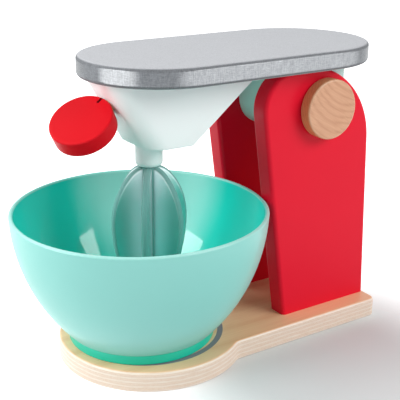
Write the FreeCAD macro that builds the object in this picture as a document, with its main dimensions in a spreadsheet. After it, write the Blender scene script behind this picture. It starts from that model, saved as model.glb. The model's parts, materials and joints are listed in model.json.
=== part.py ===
import FreeCAD, Part
import math
import os

import Sketcher

# A wooden toy stand mixer: plywood base, two red column panels, a head that tips back
# between them, a free-turning whisk, a dial on a dowel and a lift-off bowl.
#
# Millimetres, +Z up. The origin is the underside of the base on the whisk's axis.
# The front, with the dial, faces -Y. The column stands towards +Y.

SIZES = {
    # Plywood base
    "base_thick": 12.7,
    "lobe_rad": 59.0,
    "tail_half": 47.0,
    "tail_end": 154.6,
    "tail_corner": 5.5,
    "waist_rad": 9.0,
    "base_top_round": 2.0,
    "base_foot_round": 0.8,
    # Grey ring let into the base
    "ring_out_rad": 48.7,
    "ring_in_rad": 45.2,
    "ring_deep": 0.6,
    "ring_shift": 2.6,
    # Column panels, their outline seen from the side
    "head_height": 178.6,
    "panel_gap": 39.7,
    "panel_thick": 14.1,
    "panel_front": 81.9,
    "panel_rear": 153.5,
    "front_lean": 7.9,
    "rear_lean": 1.95,
    "front_top_rad": 25.0,
    "rear_top_rad": 54.0,
    "panel_round": 2.6,
    # Tilting axle
    "pivot_place": 108.9,
    "pivot_drop": 26.6,
    "axle_rad": 5.0,
    "axle_grip": 6.0,
    "knob_rad": 19.3,
    "knob_thick": 8.6,
    "knob_round": 1.2,
    # Top plate of the head
    "plate_front": 41.6,
    "plate_rear": 158.4,
    "plate_half": 49.25,
    "plate_thick": 12.3,
    "plate_round": 2.4,
    # White housing under the plate
    "housing_wide": 45.0,
    "housing_drop": 41.3,
    "housing_top_front": 35.2,
    "housing_low_front": 11.5,
    "housing_low_rear": 17.5,
    "housing_top_rear": 68.2,
    "nose_round": 12.0,
    "housing_edge": 0.8,
    # Hinge block between the panels
    "block_side_gap": 0.35,
    "block_front": 81.0,
    "block_rear": 137.9,
    "block_drop": 46.6,
    "block_low_rad": 20.0,
    # Neck collar that carries the whisk
    "collar_rad": 8.5,
    "collar_long": 14.8,
    "collar_round": 3.0,
    "spigot_rad": 6.5,
    "spigot_long": 12.7,
    "stem_rad": 4.0,
    # Whisk with flat vanes on one stem
    "vane_count": 6,
    "vane_thick": 4.5,
    "vane_edge": 1.8,
    "vane_turn": 53.0,
    "vane_crown_round": 18.54,
    "vane_foot_round": 15.19,
    "whisk_rad": 25.1,
    "whisk_hang": 35.1,
    "whisk_crown_cut": 0.8,
    "whisk_floor_gap": 13.8,
    "core_rad": 5.5,
    "core_end_gap": 6.4,
    "washer_rad": 7.6,
    "washer_thick": 1.2,
    "whisk_screw_rad": 1.6,
    "whisk_screw_long": 12.0,
    "whisk_screw_head_rad": 3.6,
    "whisk_screw_head_thick": 2.2,
    "well_rad": 8.6,
    # Dial, edge-on to the slanted face
    "dial_rad": 19.2,
    "dial_thick": 10.8,
    "dial_edge": 1.0,
    "dial_gap": 0.5,
    "dial_foot_drop": 15.6,
    "dial_turn": 17.8,
    "spindle_rad": 4.0,
    "spindle_in_dial": 13.0,
    "spindle_in_head": 14.0,
    "neck_rad": 2.9,
    "neck_wide": 3.2,
    "neck_place": 9.0,
    "pin_rad": 1.3,
    "mark_long": 4.6,
    "mark_wide": 1.7,
    "mark_deep": 0.8,
    "mark_turn": 9.5,
    # Bowl
    "bowl_shift": 6.7,
    "bowl_high": 83.4,
    "bowl_wall": 2.7,
    "foot_rad": 46.1,
    "foot_flare": 0.6,
    "foot_high": 6.5,
    "foot_edge": 0.6,
    "bowl_floor": 8.5,
    "bowl_floor_round": 6.0,
    "bowl_rad": 79.8,
    "bowl_arc_rad": 116.0,
    "bowl_arc_above": 5.2,
    # Dowels and wood screws that hold the pieces together
    "dowel_rad": 3.0,
    "dowel_in_plate": 7.0,
    "dowel_in_block": 10.0,
    "dowel_in_base": 8.0,
    "dowel_in_panel": 14.0,
    "screw_rad": 1.9,
    "screw_head_rad": 3.8,
    "screw_head_thick": 2.6,
    "screw_long": 38.0,
    # Clearances
    "glue_gap": 0.05,
    "run_gap": 0.06,
    "seat_gap": 0.3,
    "cut_past": 1.0,
}

SHEET_NAME = "Sizes"
X_AXIS = FreeCAD.Vector(1, 0, 0)
Y_AXIS = FreeCAD.Vector(0, 1, 0)
Z_AXIS = FreeCAD.Vector(0, 0, 1)


class Dim:
    """A size that is both a number and the spreadsheet expression that gives it."""

    def __init__(self, value, text):
        self.value = value
        self.text = text

    def __add__(self, other):
        other = as_dim(other)
        return Dim(self.value + other.value, f"({self.text} + {other.text})")

    def __sub__(self, other):
        other = as_dim(other)
        return Dim(self.value - other.value, f"({self.text} - {other.text})")

    def __mul__(self, other):
        other = as_dim(other)
        return Dim(self.value * other.value, f"({self.text} * {other.text})")

    def __truediv__(self, other):
        other = as_dim(other)
        return Dim(self.value / other.value, f"({self.text} / {other.text})")

    def __neg__(self):
        return Dim(-self.value, f"(0 - {self.text})")

    __radd__ = __add__
    __rmul__ = __mul__


def as_dim(value):
    """Returns a Dim as it is, and a plain number as a Dim."""
    return value if isinstance(value, Dim) else Dim(float(value), f"{float(value)}")


def root(dim):
    """The square root of a size."""
    return Dim(math.sqrt(dim.value), f"sqrt({dim.text})")


def chord(radius, offset):
    """Half the chord of a circle at an offset from its centre."""
    return root(radius * radius - offset * offset)


def cosine(angle):
    """The cosine of an angle in degrees."""
    return Dim(math.cos(math.radians(angle.value)), f"cos({angle.text})")


def sine(angle):
    """The sine of an angle in degrees."""
    return Dim(math.sin(math.radians(angle.value)), f"sin({angle.text})")


def make_sheet(doc):
    """Writes every driving size into the spreadsheet and returns them as Dims by name."""
    sheet = doc.addObject("Spreadsheet::Sheet", SHEET_NAME)
    for row, (name, value) in enumerate(SIZES.items(), start=1):
        sheet.set(f"A{row}", name)
        sheet.set(f"B{row}", str(value))
        sheet.setAlias(f"B{row}", name)
    doc.recompute()
    return {name: Dim(float(sheet.get(name)), f"{SHEET_NAME}.{name}") for name in SIZES}


doc = FreeCAD.newDocument("ToyStandMixer")
size = make_sheet(doc)

# Sizes that several pieces share

HALF = Dim(0.5, "0.5")
ZERO = Dim(0.0, "0")
base_top = size["base_thick"]
panel_high = size["head_height"] - size["base_thick"]
panel_inner = size["panel_gap"] * HALF
panel_outer = panel_inner + size["panel_thick"]
housing_low = size["head_height"] - size["housing_drop"]
collar_low = housing_low - size["collar_long"]
spigot_top = housing_low + size["spigot_long"]
stem_top = spigot_top + size["seat_gap"]
nose_run = size["housing_top_front"] - size["housing_low_front"]
nose_slope = root(nose_run * nose_run + size["housing_drop"] * size["housing_drop"])
nose_y = size["housing_drop"] / nose_slope
nose_z = nose_run / nose_slope
pivot_height = size["head_height"] - size["pivot_drop"]
dial_foot_height = size["head_height"] - size["dial_foot_drop"]
dial_foot_y = -(size["housing_low_front"]
                + (dial_foot_height - housing_low) * nose_run / size["housing_drop"])
dial_reach = size["dial_rad"] + size["dial_gap"]
spindle_fit_rad = size["spindle_rad"] + size["run_gap"]
dowel_fit_rad = size["dowel_rad"] + size["glue_gap"]
whisk_wide_height = collar_low - size["whisk_hang"]


def bind(obj, prop, dim):
    """Sets a property of an object from a size and keeps it bound to the sheet."""
    obj.setExpression(prop, dim.text)


def origin_plane(body, role):
    """One of a body's own origin planes."""
    return next(part for part in body.Origin.OriginFeatures if part.Role == role)


def new_body(name):
    """An empty body whose label names its file."""
    body = doc.addObject("PartDesign::Body", name)
    body.Label = name
    return body


def place(obj, y=ZERO, z=ZERO, x=ZERO, rotation=None):
    """Places a finished sub-part in the mixer's frame."""
    obj.Placement = FreeCAD.Placement(FreeCAD.Vector(), rotation or FreeCAD.Rotation())
    bind(obj, "Placement.Base.x", as_dim(x))
    bind(obj, "Placement.Base.y", as_dim(y))
    bind(obj, "Placement.Base.z", as_dim(z))


def on_plane(body, obj, role, height=ZERO):
    """Attaches a sketch to a body's origin plane, or to a level above it."""
    obj.AttachmentSupport = [(origin_plane(body, role), "")]
    obj.MapMode = "FlatFace"
    bind(obj, "AttachmentOffset.Base.z", height)


def arc_centre(start, end, radius, turn):
    """The centre of a short arc between two points, on the left where turn is 1."""
    half_x = (end[0].value - start[0].value) / 2
    half_y = (end[1].value - start[1].value) / 2
    half = math.hypot(half_x, half_y)
    rise = math.sqrt(max(radius.value ** 2 - half ** 2, 0.0)) * turn
    mid = FreeCAD.Vector(start[0].value + half_x, start[1].value + half_y, 0)
    return mid + FreeCAD.Vector(-half_y, half_x, 0) * (rise / half)


def add_arc(sketch, start, end, radius, turn):
    """Adds a short arc and returns it with its start and end vertex numbers."""
    centre = arc_centre(start, end, radius, turn)
    first = math.atan2(start[1].value - centre.y, start[0].value - centre.x)
    last = math.atan2(end[1].value - centre.y, end[0].value - centre.x)
    if turn < 0:
        first, last = last, first
    circle = Part.Circle(centre, Z_AXIS, radius.value)
    geometry = sketch.addGeometry(Part.ArcOfCircle(circle, first, last))
    row = sketch.addConstraint(Sketcher.Constraint("Radius", geometry, radius.value))
    sketch.renameConstraint(row, f"rad{geometry}")
    sketch.setExpression(f"Constraints.rad{geometry}", radius.text)
    return (geometry, 1, 2) if turn > 0 else (geometry, 2, 1)


def add_line(sketch, start, end):
    """Adds a straight run and returns it with its start and end vertex numbers."""
    first = FreeCAD.Vector(start[0].value, start[1].value, 0)
    last = FreeCAD.Vector(end[0].value, end[1].value, 0)
    return sketch.addGeometry(Part.LineSegment(first, last)), 1, 2


def fix_point(sketch, geometry, vertex, point):
    """Ties one vertex of a sketch to the sizes that place it."""
    for kind, value in (("DistanceX", point[0]), ("DistanceY", point[1])):
        rule = Sketcher.Constraint(kind, -1, 1, geometry, vertex, value.value)
        row = sketch.addConstraint(rule)
        name = f"{kind[-1].lower()}{geometry}v{vertex}"
        sketch.renameConstraint(row, name)
        sketch.setExpression(f"Constraints.{name}", value.text)


def outline_sketch(body, name, role, corners, height=ZERO):
    """A closed sketch. Each corner is (x, y), or (x, y, radius, turn) where an arc leaves it."""
    sketch = body.newObject("Sketcher::SketchObject", name)
    on_plane(body, sketch, role, height)
    corners = [tuple(as_dim(part) for part in corner[:3]) + corner[3:] for corner in corners]
    runs = []
    for index, corner in enumerate(corners):
        following = corners[(index + 1) % len(corners)]
        if len(corner) == 4:
            runs.append(add_arc(sketch, corner, following, corner[2], corner[3]))
        else:
            runs.append(add_line(sketch, corner, following))
    for index, (geometry, first, last) in enumerate(runs):
        after = runs[(index + 1) % len(runs)]
        sketch.addConstraint(Sketcher.Constraint("Coincident", geometry, last, after[0], after[1]))
        fix_point(sketch, geometry, first, corners[index])
    return sketch


def circle_sketch(body, name, role, radii, height=ZERO, centre=(ZERO, ZERO)):
    """A sketch of circles about one centre, such as a disc or a ring."""
    sketch = body.newObject("Sketcher::SketchObject", name)
    on_plane(body, sketch, role, height)
    middle = FreeCAD.Vector(centre[0].value, centre[1].value, 0)
    for radius in radii:
        geometry = sketch.addGeometry(Part.Circle(middle, Z_AXIS, radius.value))
        row = sketch.addConstraint(Sketcher.Constraint("Radius", geometry, radius.value))
        sketch.renameConstraint(row, f"rad{geometry}")
        sketch.setExpression(f"Constraints.rad{geometry}", radius.text)
        fix_point(sketch, geometry, 3, centre)
    return sketch


def pad(body, sketch, length, midplane=False):
    """Pads a sketch, to one side or evenly to both."""
    feature = body.newObject("PartDesign::Pad", f"{body.Name}Pad")
    feature.Profile = sketch
    feature.Midplane = midplane
    bind(feature, "Length", length)
    return feature


def pocket(body, sketch, depth):
    """Cuts a sketch down into the body and checks that it took something away."""
    doc.recompute()
    before = body.Shape.Volume
    feature = body.newObject("PartDesign::Pocket", f"{body.Name}Pocket")
    feature.Profile = sketch
    bind(feature, "Length", depth)
    doc.recompute()
    if feature.Shape.Volume >= before:
        raise RuntimeError(f"{feature.Name} cuts nothing")
    return feature


def turned(body, name, corners):
    """Turns a half outline, given as (radius, height) corners, about the upright axis."""
    sketch = outline_sketch(body, name, "XZ_Plane", corners)
    feature = body.newObject("PartDesign::Revolution", f"{body.Name}Turned")
    feature.Profile = sketch
    feature.ReferenceAxis = (sketch, ["V_Axis"])
    feature.Angle = 360.0
    return feature


def fillet(body, radius, chosen):
    """Rounds the edges of the body's present shape that the test picks."""
    doc.recompute()
    tip = body.Tip
    edges = [f"Edge{n}" for n, edge in enumerate(tip.Shape.Edges, start=1) if chosen(edge)]
    feature = body.newObject("PartDesign::Fillet", f"{body.Name}Fillet")
    feature.Base = (tip, edges)
    bind(feature, "Radius", radius)
    return feature


def tool_at(body, obj, base, direction):
    """Sets a cutting tool on the body's XY plane, at a point and along a direction."""
    obj.AttachmentSupport = [(origin_plane(body, "XY_Plane"), "")]
    obj.MapMode = "FlatFace"
    turn = FreeCAD.Rotation(Z_AXIS, FreeCAD.Vector(*direction))
    obj.AttachmentOffset = FreeCAD.Placement(FreeCAD.Vector(), turn)
    for letter, dim in zip("xyz", base):
        bind(obj, f"AttachmentOffset.Base.{letter}", as_dim(dim))


def bore(body, base, radius, depth, direction=(0, 0, 1)):
    """Drills a round hole from a point along a direction."""
    tool = body.newObject("PartDesign::SubtractiveCylinder", f"{body.Name}Bore")
    bind(tool, "Radius", radius)
    bind(tool, "Height", depth)
    tool_at(body, tool, base, direction)
    return tool


def countersink(body, base, radius, mouth_rad, depth):
    """Opens a hole's lower mouth to seat a countersunk head."""
    tool = body.newObject("PartDesign::SubtractiveCone", f"{body.Name}Sink")
    bind(tool, "Radius1", mouth_rad)
    bind(tool, "Radius2", radius)
    bind(tool, "Height", depth)
    tool_at(body, tool, base, (0, 0, 1))
    return tool


def edge_is_flat_at(edge, height):
    """True where an edge lies level at a height."""
    box = edge.BoundBox
    return abs(box.ZMin - height) < 1e-3 and abs(box.ZMax - height) < 1e-3


def group(name, members):
    """Keeps equal pieces together as one sub-part of separate solids."""
    compound = doc.addObject("Part::Compound", name)
    compound.Label = name
    compound.Links = members
    return compound


def rod(name, x, y, z, radius, length):
    """An upright round rod, such as one dowel of a group."""
    cylinder = doc.addObject("Part::Cylinder", name)
    bind(cylinder, "Radius", radius)
    bind(cylinder, "Height", length)
    place(cylinder, x=x, y=y, z=z)
    return cylinder


# Places of the fasteners

panel_mid = (panel_inner + panel_outer) * HALF
panel_depth = size["panel_rear"] - size["panel_front"]
SCREW_SHARES = (0.22, 0.78)
DOWEL_SHARE = 0.5
HOUSING_DOWEL_SHARES = (0.38, 0.68)
BLOCK_DOWEL_ACROSS = 0.5
BLOCK_DOWEL_ALONG = 0.6
screw_places = [(panel_mid * side, size["panel_front"] + panel_depth * share)
                for side in (-1, 1) for share in SCREW_SHARES]
foot_dowel_places = [(panel_mid * side, size["panel_front"] + panel_depth * DOWEL_SHARE)
                     for side in (-1, 1)]
housing_dowel_places = [(ZERO, size["housing_top_rear"] * share) for share in HOUSING_DOWEL_SHARES]
block_middle = (size["block_front"] + size["block_rear"]) * HALF
block_half = (size["block_rear"] - size["block_front"]) * HALF
block_dowel_x = panel_inner * BLOCK_DOWEL_ACROSS
block_dowel_places = [(block_dowel_x * side, block_middle + block_half * BLOCK_DOWEL_ALONG * end)
                      for side in (-1, 1) for end in (-1, 1)]


def make_base_board():
    """The plywood base: a round lobe for the bowl and a straight tail for the column."""
    body = new_body("base_board")
    lobe, waist, half = size["lobe_rad"], size["waist_rad"], size["tail_half"]
    reach = lobe + waist
    waist_y = root(reach * reach - (half + waist) * (half + waist))
    share = lobe / reach
    join = ((half + waist) * share, waist_y * share)
    corner, end = size["tail_corner"], size["tail_end"]
    sketch = outline_sketch(body, "BaseOutline", "XY_Plane", [
        (ZERO, -lobe, lobe, 1),
        (join[0], join[1], waist, -1),
        (half, waist_y),
        (half, end - corner, corner, 1),
        (half - corner, end),
        (-(half - corner), end, corner, 1),
        (-half, end - corner),
        (-half, waist_y, waist, -1),
        (-join[0], join[1], lobe, 1),
    ])
    pad(body, sketch, base_top)
    fillet(body, size["base_top_round"], lambda edge: edge_is_flat_at(edge, base_top.value))
    fillet(body, size["base_foot_round"], lambda edge: edge_is_flat_at(edge, 0.0))
    ring = circle_sketch(body, "RingGroove", "XY_Plane",
                         (size["ring_out_rad"] + size["glue_gap"], size["ring_in_rad"] - size["glue_gap"]),
                         base_top, (ZERO, -size["ring_shift"]))
    pocket(body, ring, size["ring_deep"])
    shank_rad = size["screw_rad"] + size["glue_gap"]
    head_slope = (size["screw_head_rad"] - size["screw_rad"]) / size["screw_head_thick"]
    sink_deep = size["screw_head_thick"] + size["seat_gap"]
    for x, y in screw_places:
        bore(body, (x, y, ZERO), shank_rad, base_top)
        countersink(body, (x, y, ZERO), shank_rad, shank_rad + head_slope * sink_deep, sink_deep)
    for x, y in foot_dowel_places:
        bore(body, (x, y, base_top - size["dowel_in_base"]), dowel_fit_rad, size["dowel_in_base"])
    return body


def make_bowl_ring():
    """The thin grey ring, let in flush, that marks the bowl's place."""
    body = new_body("bowl_ring")
    sketch = circle_sketch(body, "RingFace", "XY_Plane", (size["ring_out_rad"], size["ring_in_rad"]))
    pad(body, sketch, size["ring_deep"])
    place(body, y=-size["ring_shift"], z=base_top - size["ring_deep"])
    return body


def panel_corners():
    """A column panel's side outline, (y, height above the base), with its two tangent arcs."""
    front, rear = size["panel_front"], size["panel_rear"]
    small, large = size["front_top_rad"], size["rear_top_rad"]
    front_cos, front_sin = cosine(size["front_lean"]), sine(size["front_lean"])
    rear_cos, rear_sin = cosine(size["rear_lean"]), sine(size["rear_lean"])
    small_z = panel_high - small
    small_y = front - small_z * front_sin / front_cos + small / front_cos
    large_z = panel_high - large
    large_y = rear - large_z * rear_sin / rear_cos - large / rear_cos
    return [
        (front, ZERO),
        (rear, ZERO),
        (large_y + large * rear_cos, large_z + large * rear_sin, large, 1),
        (large_y, panel_high),
        (small_y, panel_high, small, 1),
        (small_y - small * front_cos, small_z - small * front_sin),
    ]


def make_panel(name, side):
    """One red column panel, rounded over on all but its foot, with the axle's hole."""
    body = new_body(name)
    sketch = outline_sketch(body, f"{name}Outline", "YZ_Plane", panel_corners())
    pad(body, sketch, size["panel_thick"])
    faces = (0.0, size["panel_thick"].value)

    def on_face_above_foot(edge):
        box = edge.BoundBox
        on_face = any(abs(box.XMin - x) < 1e-3 and abs(box.XMax - x) < 1e-3 for x in faces)
        return on_face and box.ZMax > 1e-3

    fillet(body, size["panel_round"], on_face_above_foot)
    local_mid = size["panel_thick"] * HALF
    bore(body, (ZERO, size["pivot_place"], pivot_height - base_top),
         size["axle_rad"] + size["run_gap"], size["panel_thick"], (1, 0, 0))
    for share in SCREW_SHARES:
        bore(body, (local_mid, size["panel_front"] + panel_depth * share, ZERO),
             size["screw_rad"] + size["glue_gap"], size["screw_long"] + size["seat_gap"] * 2 - base_top)
    bore(body, (local_mid, size["panel_front"] + panel_depth * DOWEL_SHARE, ZERO),
         dowel_fit_rad, size["dowel_in_panel"])
    place(body, x=panel_inner if side > 0 else -panel_outer, z=base_top)
    return body


def make_base_screws():
    """Four countersunk wood screws, driven up through the base into the panels."""
    members = []
    for index, (x, y) in enumerate(screw_places):
        head = doc.addObject("Part::Cone", f"ScrewHead{index}")
        bind(head, "Radius1", size["screw_head_rad"])
        bind(head, "Radius2", size["screw_rad"])
        bind(head, "Height", size["screw_head_thick"])
        shank = rod(f"ScrewShank{index}", ZERO, ZERO, ZERO, size["screw_rad"], size["screw_long"])
        screw = doc.addObject("Part::Fuse", f"Screw{index}")
        screw.Base = head
        screw.Tool = shank
        place(screw, x=x, y=y, z=size["seat_gap"])
        members.append(screw)
    return group("base_screws", members)


def make_dowels(name, places, low, length):
    """Glued wooden dowels across a joint."""
    members = [rod(f"{name}{index}", x, y, low, size["dowel_rad"], length)
               for index, (x, y) in enumerate(places)]
    return group(name, members)


def make_top_plate():
    """The head's long plate with round ends and softened edges."""
    body = new_body("top_plate")
    half = size["plate_half"]
    front, rear = -(size["plate_front"] - half), size["plate_rear"] - half
    sketch = outline_sketch(body, "PlateOutline", "XY_Plane", [
        (ZERO, -size["plate_front"], half, 1),
        (half, front),
        (half, rear, half, 1),
        (ZERO, size["plate_rear"], half, 1),
        (-half, rear),
        (-half, front, half, 1),
    ])
    pad(body, sketch, size["plate_thick"])
    rims = (0.0, size["plate_thick"].value)
    fillet(body, size["plate_round"], lambda edge: any(edge_is_flat_at(edge, z) for z in rims))
    for x, y in housing_dowel_places + block_dowel_places:
        bore(body, (x, y, ZERO), dowel_fit_rad, size["dowel_in_plate"])
    place(body, z=size["head_height"])
    return body


def make_housing():
    """The white housing: a block with slanted ends and a generously rounded nose."""
    body = new_body("head_housing")
    sketch = outline_sketch(body, "HousingSide", "YZ_Plane", [
        (-size["housing_low_front"], ZERO),
        (size["housing_low_rear"], ZERO),
        (size["housing_top_rear"], size["housing_drop"]),
        (-size["housing_top_front"], size["housing_drop"]),
    ])
    pad(body, sketch, size["housing_wide"], midplane=True)
    side = size["housing_wide"].value / 2
    low_front = -size["housing_low_front"].value

    def runs_down_nose(edge):
        box = edge.BoundBox
        return abs(abs(box.XMin) - side) < 1e-3 and box.XLength < 1e-3 \
            and box.YMax < low_front + 1e-3 and box.ZLength > side

    fillet(body, size["nose_round"], runs_down_nose)
    fillet(body, size["housing_edge"], lambda edge: edge_is_flat_at(edge, 0.0))
    bore(body, (ZERO, ZERO, ZERO), size["spigot_rad"] + size["glue_gap"], size["spigot_long"])
    bore(body, (ZERO, ZERO, size["spigot_long"]), size["well_rad"],
         size["housing_drop"] - size["spigot_long"])
    inward = (0, nose_y.value, nose_z.value)
    foot = (ZERO, dial_foot_y, dial_foot_height - housing_low)
    past = size["cut_past"]
    start = (ZERO, foot[1] - nose_y * past, foot[2] - nose_z * past)
    bore(body, start, spindle_fit_rad, size["spindle_in_head"] + size["seat_gap"] + past, inward)
    bore(body, pin_base(-housing_low, ZERO), size["pin_rad"] + size["glue_gap"],
         size["housing_drop"], (0, -nose_z.value, nose_y.value))
    for x, y in housing_dowel_places:
        bore(body, (x, y, size["housing_drop"] - size["dowel_in_block"]),
             dowel_fit_rad, size["dowel_in_block"])
    place(body, z=housing_low)
    return body


def pin_base(level, lift):
    """A point on the retaining pin's axis, lifted from the dial spindle's own axis."""
    deep = size["neck_place"]
    return (ZERO,
            dial_foot_y + nose_y * deep - nose_z * lift,
            dial_foot_height + level + nose_z * deep + nose_y * lift)


def make_hinge_block():
    """The block on the plate's underside that turns between the panels."""
    body = new_body("hinge_block")
    drop, low = size["block_drop"], size["block_low_rad"]
    front, rear = size["block_front"], size["block_rear"]
    sketch = outline_sketch(body, "BlockSide", "YZ_Plane", [
        (front + low, ZERO),
        (rear - low, ZERO, low, 1),
        (rear, low),
        (rear, drop),
        (front, drop),
        (front, low, low, 1),
    ])
    wide = size["panel_gap"] - size["block_side_gap"] * 2
    pad(body, sketch, wide, midplane=True)
    bore(body, (-wide * HALF, size["pivot_place"], pivot_height - size["head_height"] + drop),
         size["axle_rad"] + size["glue_gap"], wide, (1, 0, 0))
    for x, y in block_dowel_places:
        bore(body, (x, y, drop - size["dowel_in_block"]), dowel_fit_rad, size["dowel_in_block"])
    place(body, z=size["head_height"] - drop)
    return body


def make_axle():
    """The dowel that the head tilts on, through both panels into the knobs."""
    axle = doc.addObject("Part::Cylinder", "pivot_axle")
    axle.Label = "pivot_axle"
    half = panel_outer + size["seat_gap"] + size["axle_grip"]
    bind(axle, "Radius", size["axle_rad"])
    bind(axle, "Height", half * 2)
    place(axle, x=-half, y=size["pivot_place"], z=pivot_height,
          rotation=FreeCAD.Rotation(Y_AXIS, 90))
    return axle


def make_knob(name, side):
    """A natural wood disc glued on one end of the axle."""
    body = new_body(name)
    sketch = circle_sketch(body, f"{name}Face", "XY_Plane", (size["knob_rad"],))
    pad(body, sketch, size["knob_thick"])
    rims = (0.0, size["knob_thick"].value)
    fillet(body, size["knob_round"], lambda edge: any(edge_is_flat_at(edge, z) for z in rims))
    bore(body, (ZERO, ZERO, ZERO), size["axle_rad"] + size["glue_gap"], size["axle_grip"] + size["glue_gap"])
    place(body, x=(panel_outer + size["seat_gap"]) * side, y=size["pivot_place"],
          z=pivot_height, rotation=FreeCAD.Rotation(Y_AXIS, 90 * side))
    return body


def make_collar():
    """The turned neck collar, with a spigot glued up into the housing."""
    body = new_body("neck_collar")
    outer, soft = size["collar_rad"], size["collar_round"]
    inner = size["stem_rad"] + size["run_gap"]
    long, top = size["collar_long"], size["collar_long"] + size["spigot_long"]
    turned(body, "CollarHalf", [
        (inner, ZERO),
        (outer - soft, ZERO, soft, 1),
        (outer, soft),
        (outer, long),
        (size["spigot_rad"], long),
        (size["spigot_rad"], top),
        (inner, top),
    ])
    place(body, z=collar_low)
    return body


def egg_side(end_rad, reach):
    """A vane's side arc, tangent to the arc of its end: where they meet and its radius."""
    wide, rise = size["whisk_rad"], reach - end_rad
    side_rad = (wide * wide + rise * rise - end_rad * end_rad) / ((wide - end_rad) * 2)
    join_x = wide - side_rad + side_rad * (side_rad - wide) / (side_rad - end_rad)
    join_z = side_rad * rise / (side_rad - end_rad)
    return join_x, join_z, side_rad


def make_whisk():
    """The whisk: flat egg-shaped plates that cross on one stem."""
    body = new_body("whisk")
    wide, past = size["whisk_rad"], size["cut_past"]
    crown_z = size["whisk_hang"] - size["seat_gap"]
    up = crown_z + size["whisk_crown_cut"]
    down = whisk_wide_height - base_top - size["bowl_floor"] - size["whisk_floor_gap"]
    high_rad, low_rad = size["vane_crown_round"], size["vane_foot_round"]
    high_x, high_z, side_up = egg_side(high_rad, up)
    low_x, low_z, side_down = egg_side(low_rad, down)
    sketch = outline_sketch(body, "VaneOutline", "XZ_Plane", [
        (ZERO, -down, low_rad, 1),
        (low_x, -low_z, side_down, 1),
        (wide, ZERO, side_up, 1),
        (high_x, high_z, high_rad, 1),
        (ZERO, up, high_rad, 1),
        (-high_x, high_z, side_up, 1),
        (-wide, ZERO, side_down, 1),
        (-low_x, -low_z, low_rad, 1),
    ])
    pad(body, sketch, size["vane_thick"], midplane=True)
    face = size["vane_thick"].value / 2

    def on_outline(edge):
        box = edge.BoundBox
        return abs(abs(box.YMin) - face) < 1e-3 and box.YLength < 1e-3

    rounded = fillet(body, size["vane_edge"], on_outline)
    doc.recompute()
    pattern = body.newObject("PartDesign::PolarPattern", "Vanes")
    pattern.TransformMode = "Whole shape"
    pattern.Originals = [rounded]
    pattern.Axis = (sketch, ["V_Axis"])
    plates = size["vane_count"] * HALF
    bind(pattern, "Angle", as_dim(180) * (plates - 1) / plates)
    bind(pattern, "Occurrences", plates)
    body.Tip = pattern
    crown = circle_sketch(body, "CrownCut", "XY_Plane", (wide,), up + past)
    pocket(body, crown, up + past - crown_z)
    for name, radius, low, top in (("Core", size["core_rad"], size["core_end_gap"] - down, crown_z),
                                   ("Stem", size["stem_rad"], ZERO, stem_top - whisk_wide_height)):
        rounder = body.newObject("PartDesign::AdditiveCylinder", name)
        rounder.AttachmentSupport = [(origin_plane(body, "XY_Plane"), "")]
        rounder.MapMode = "FlatFace"
        bind(rounder, "AttachmentOffset.Base.z", low)
        bind(rounder, "Radius", radius)
        bind(rounder, "Height", top - low)
    screw_deep = size["whisk_screw_long"] + size["seat_gap"]
    bore(body, (ZERO, ZERO, stem_top - whisk_wide_height - screw_deep),
         size["whisk_screw_rad"] + size["glue_gap"], screw_deep)
    place(body, z=whisk_wide_height,
          rotation=FreeCAD.Rotation(Z_AXIS, size["vane_turn"].value - 90))
    return body


def make_washer():
    """The washer that hangs the whisk on top of the collar's spigot."""
    body = new_body("whisk_washer")
    sketch = circle_sketch(body, "WasherFace", "XY_Plane",
                           (size["washer_rad"], size["whisk_screw_rad"] + size["glue_gap"]))
    pad(body, sketch, size["washer_thick"])
    place(body, z=stem_top)
    return body


def make_whisk_screw():
    """The screw that clamps the washer to the whisk's stem."""
    body = new_body("whisk_screw")
    long, shank = size["whisk_screw_long"], size["whisk_screw_rad"]
    head, thick = size["whisk_screw_head_rad"], size["whisk_screw_head_thick"]
    neck = long + size["washer_thick"]
    turned(body, "WhiskScrewHalf", [
        (ZERO, ZERO),
        (shank, shank),
        (shank, neck),
        (head, neck),
        (head, neck + thick * HALF, thick, 1),
        (head - thick * HALF, neck + thick),
        (ZERO, neck + thick),
    ])
    place(body, z=stem_top - long)
    return body


def dial_turning():
    """The dial's rotation: its local Y runs to the housing, its local Z is its upper face."""
    turn = math.radians(size["dial_turn"].value)
    to_housing = FreeCAD.Vector(0, nose_y.value, nose_z.value)
    upright = FreeCAD.Vector(0, -nose_z.value, nose_y.value)
    face = upright * math.cos(turn) + X_AXIS * math.sin(turn)
    return FreeCAD.Rotation(to_housing.cross(face), to_housing, face, "YZX")


def make_dial():
    """The red dial, with a bore in its rim for the spindle and a pointer groove."""
    body = new_body("dial")
    sketch = circle_sketch(body, "DialFace", "XY_Plane", (size["dial_rad"],), -size["dial_thick"] * HALF)
    pad(body, sketch, size["dial_thick"])
    face = size["dial_thick"].value / 2
    fillet(body, size["dial_edge"],
           lambda edge: edge_is_flat_at(edge, face) or edge_is_flat_at(edge, -face))
    deep = size["spindle_in_dial"]
    bore(body, (ZERO, size["dial_rad"] - deep, ZERO), size["spindle_rad"] + size["glue_gap"],
         deep + size["cut_past"], (0, 1, 0))
    start, end = size["dial_rad"] - size["mark_long"], size["dial_rad"] + size["mark_long"]
    cos_mark, sin_mark = cosine(size["mark_turn"]), sine(size["mark_turn"])
    side = size["mark_wide"] * HALF

    def mark_point(reach, offset):
        return -(reach * sin_mark + offset * cos_mark), reach * cos_mark - offset * sin_mark

    groove = outline_sketch(body, "PointerMark", "XY_Plane", [
        mark_point(start, -side),
        mark_point(end, -side),
        mark_point(end, side),
        mark_point(start, side),
    ], size["dial_thick"] * HALF)
    pocket(body, groove, size["mark_deep"])
    place(body, y=dial_foot_y - nose_y * dial_reach,
          z=dial_foot_height - nose_z * dial_reach, rotation=dial_turning())
    return body


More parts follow.
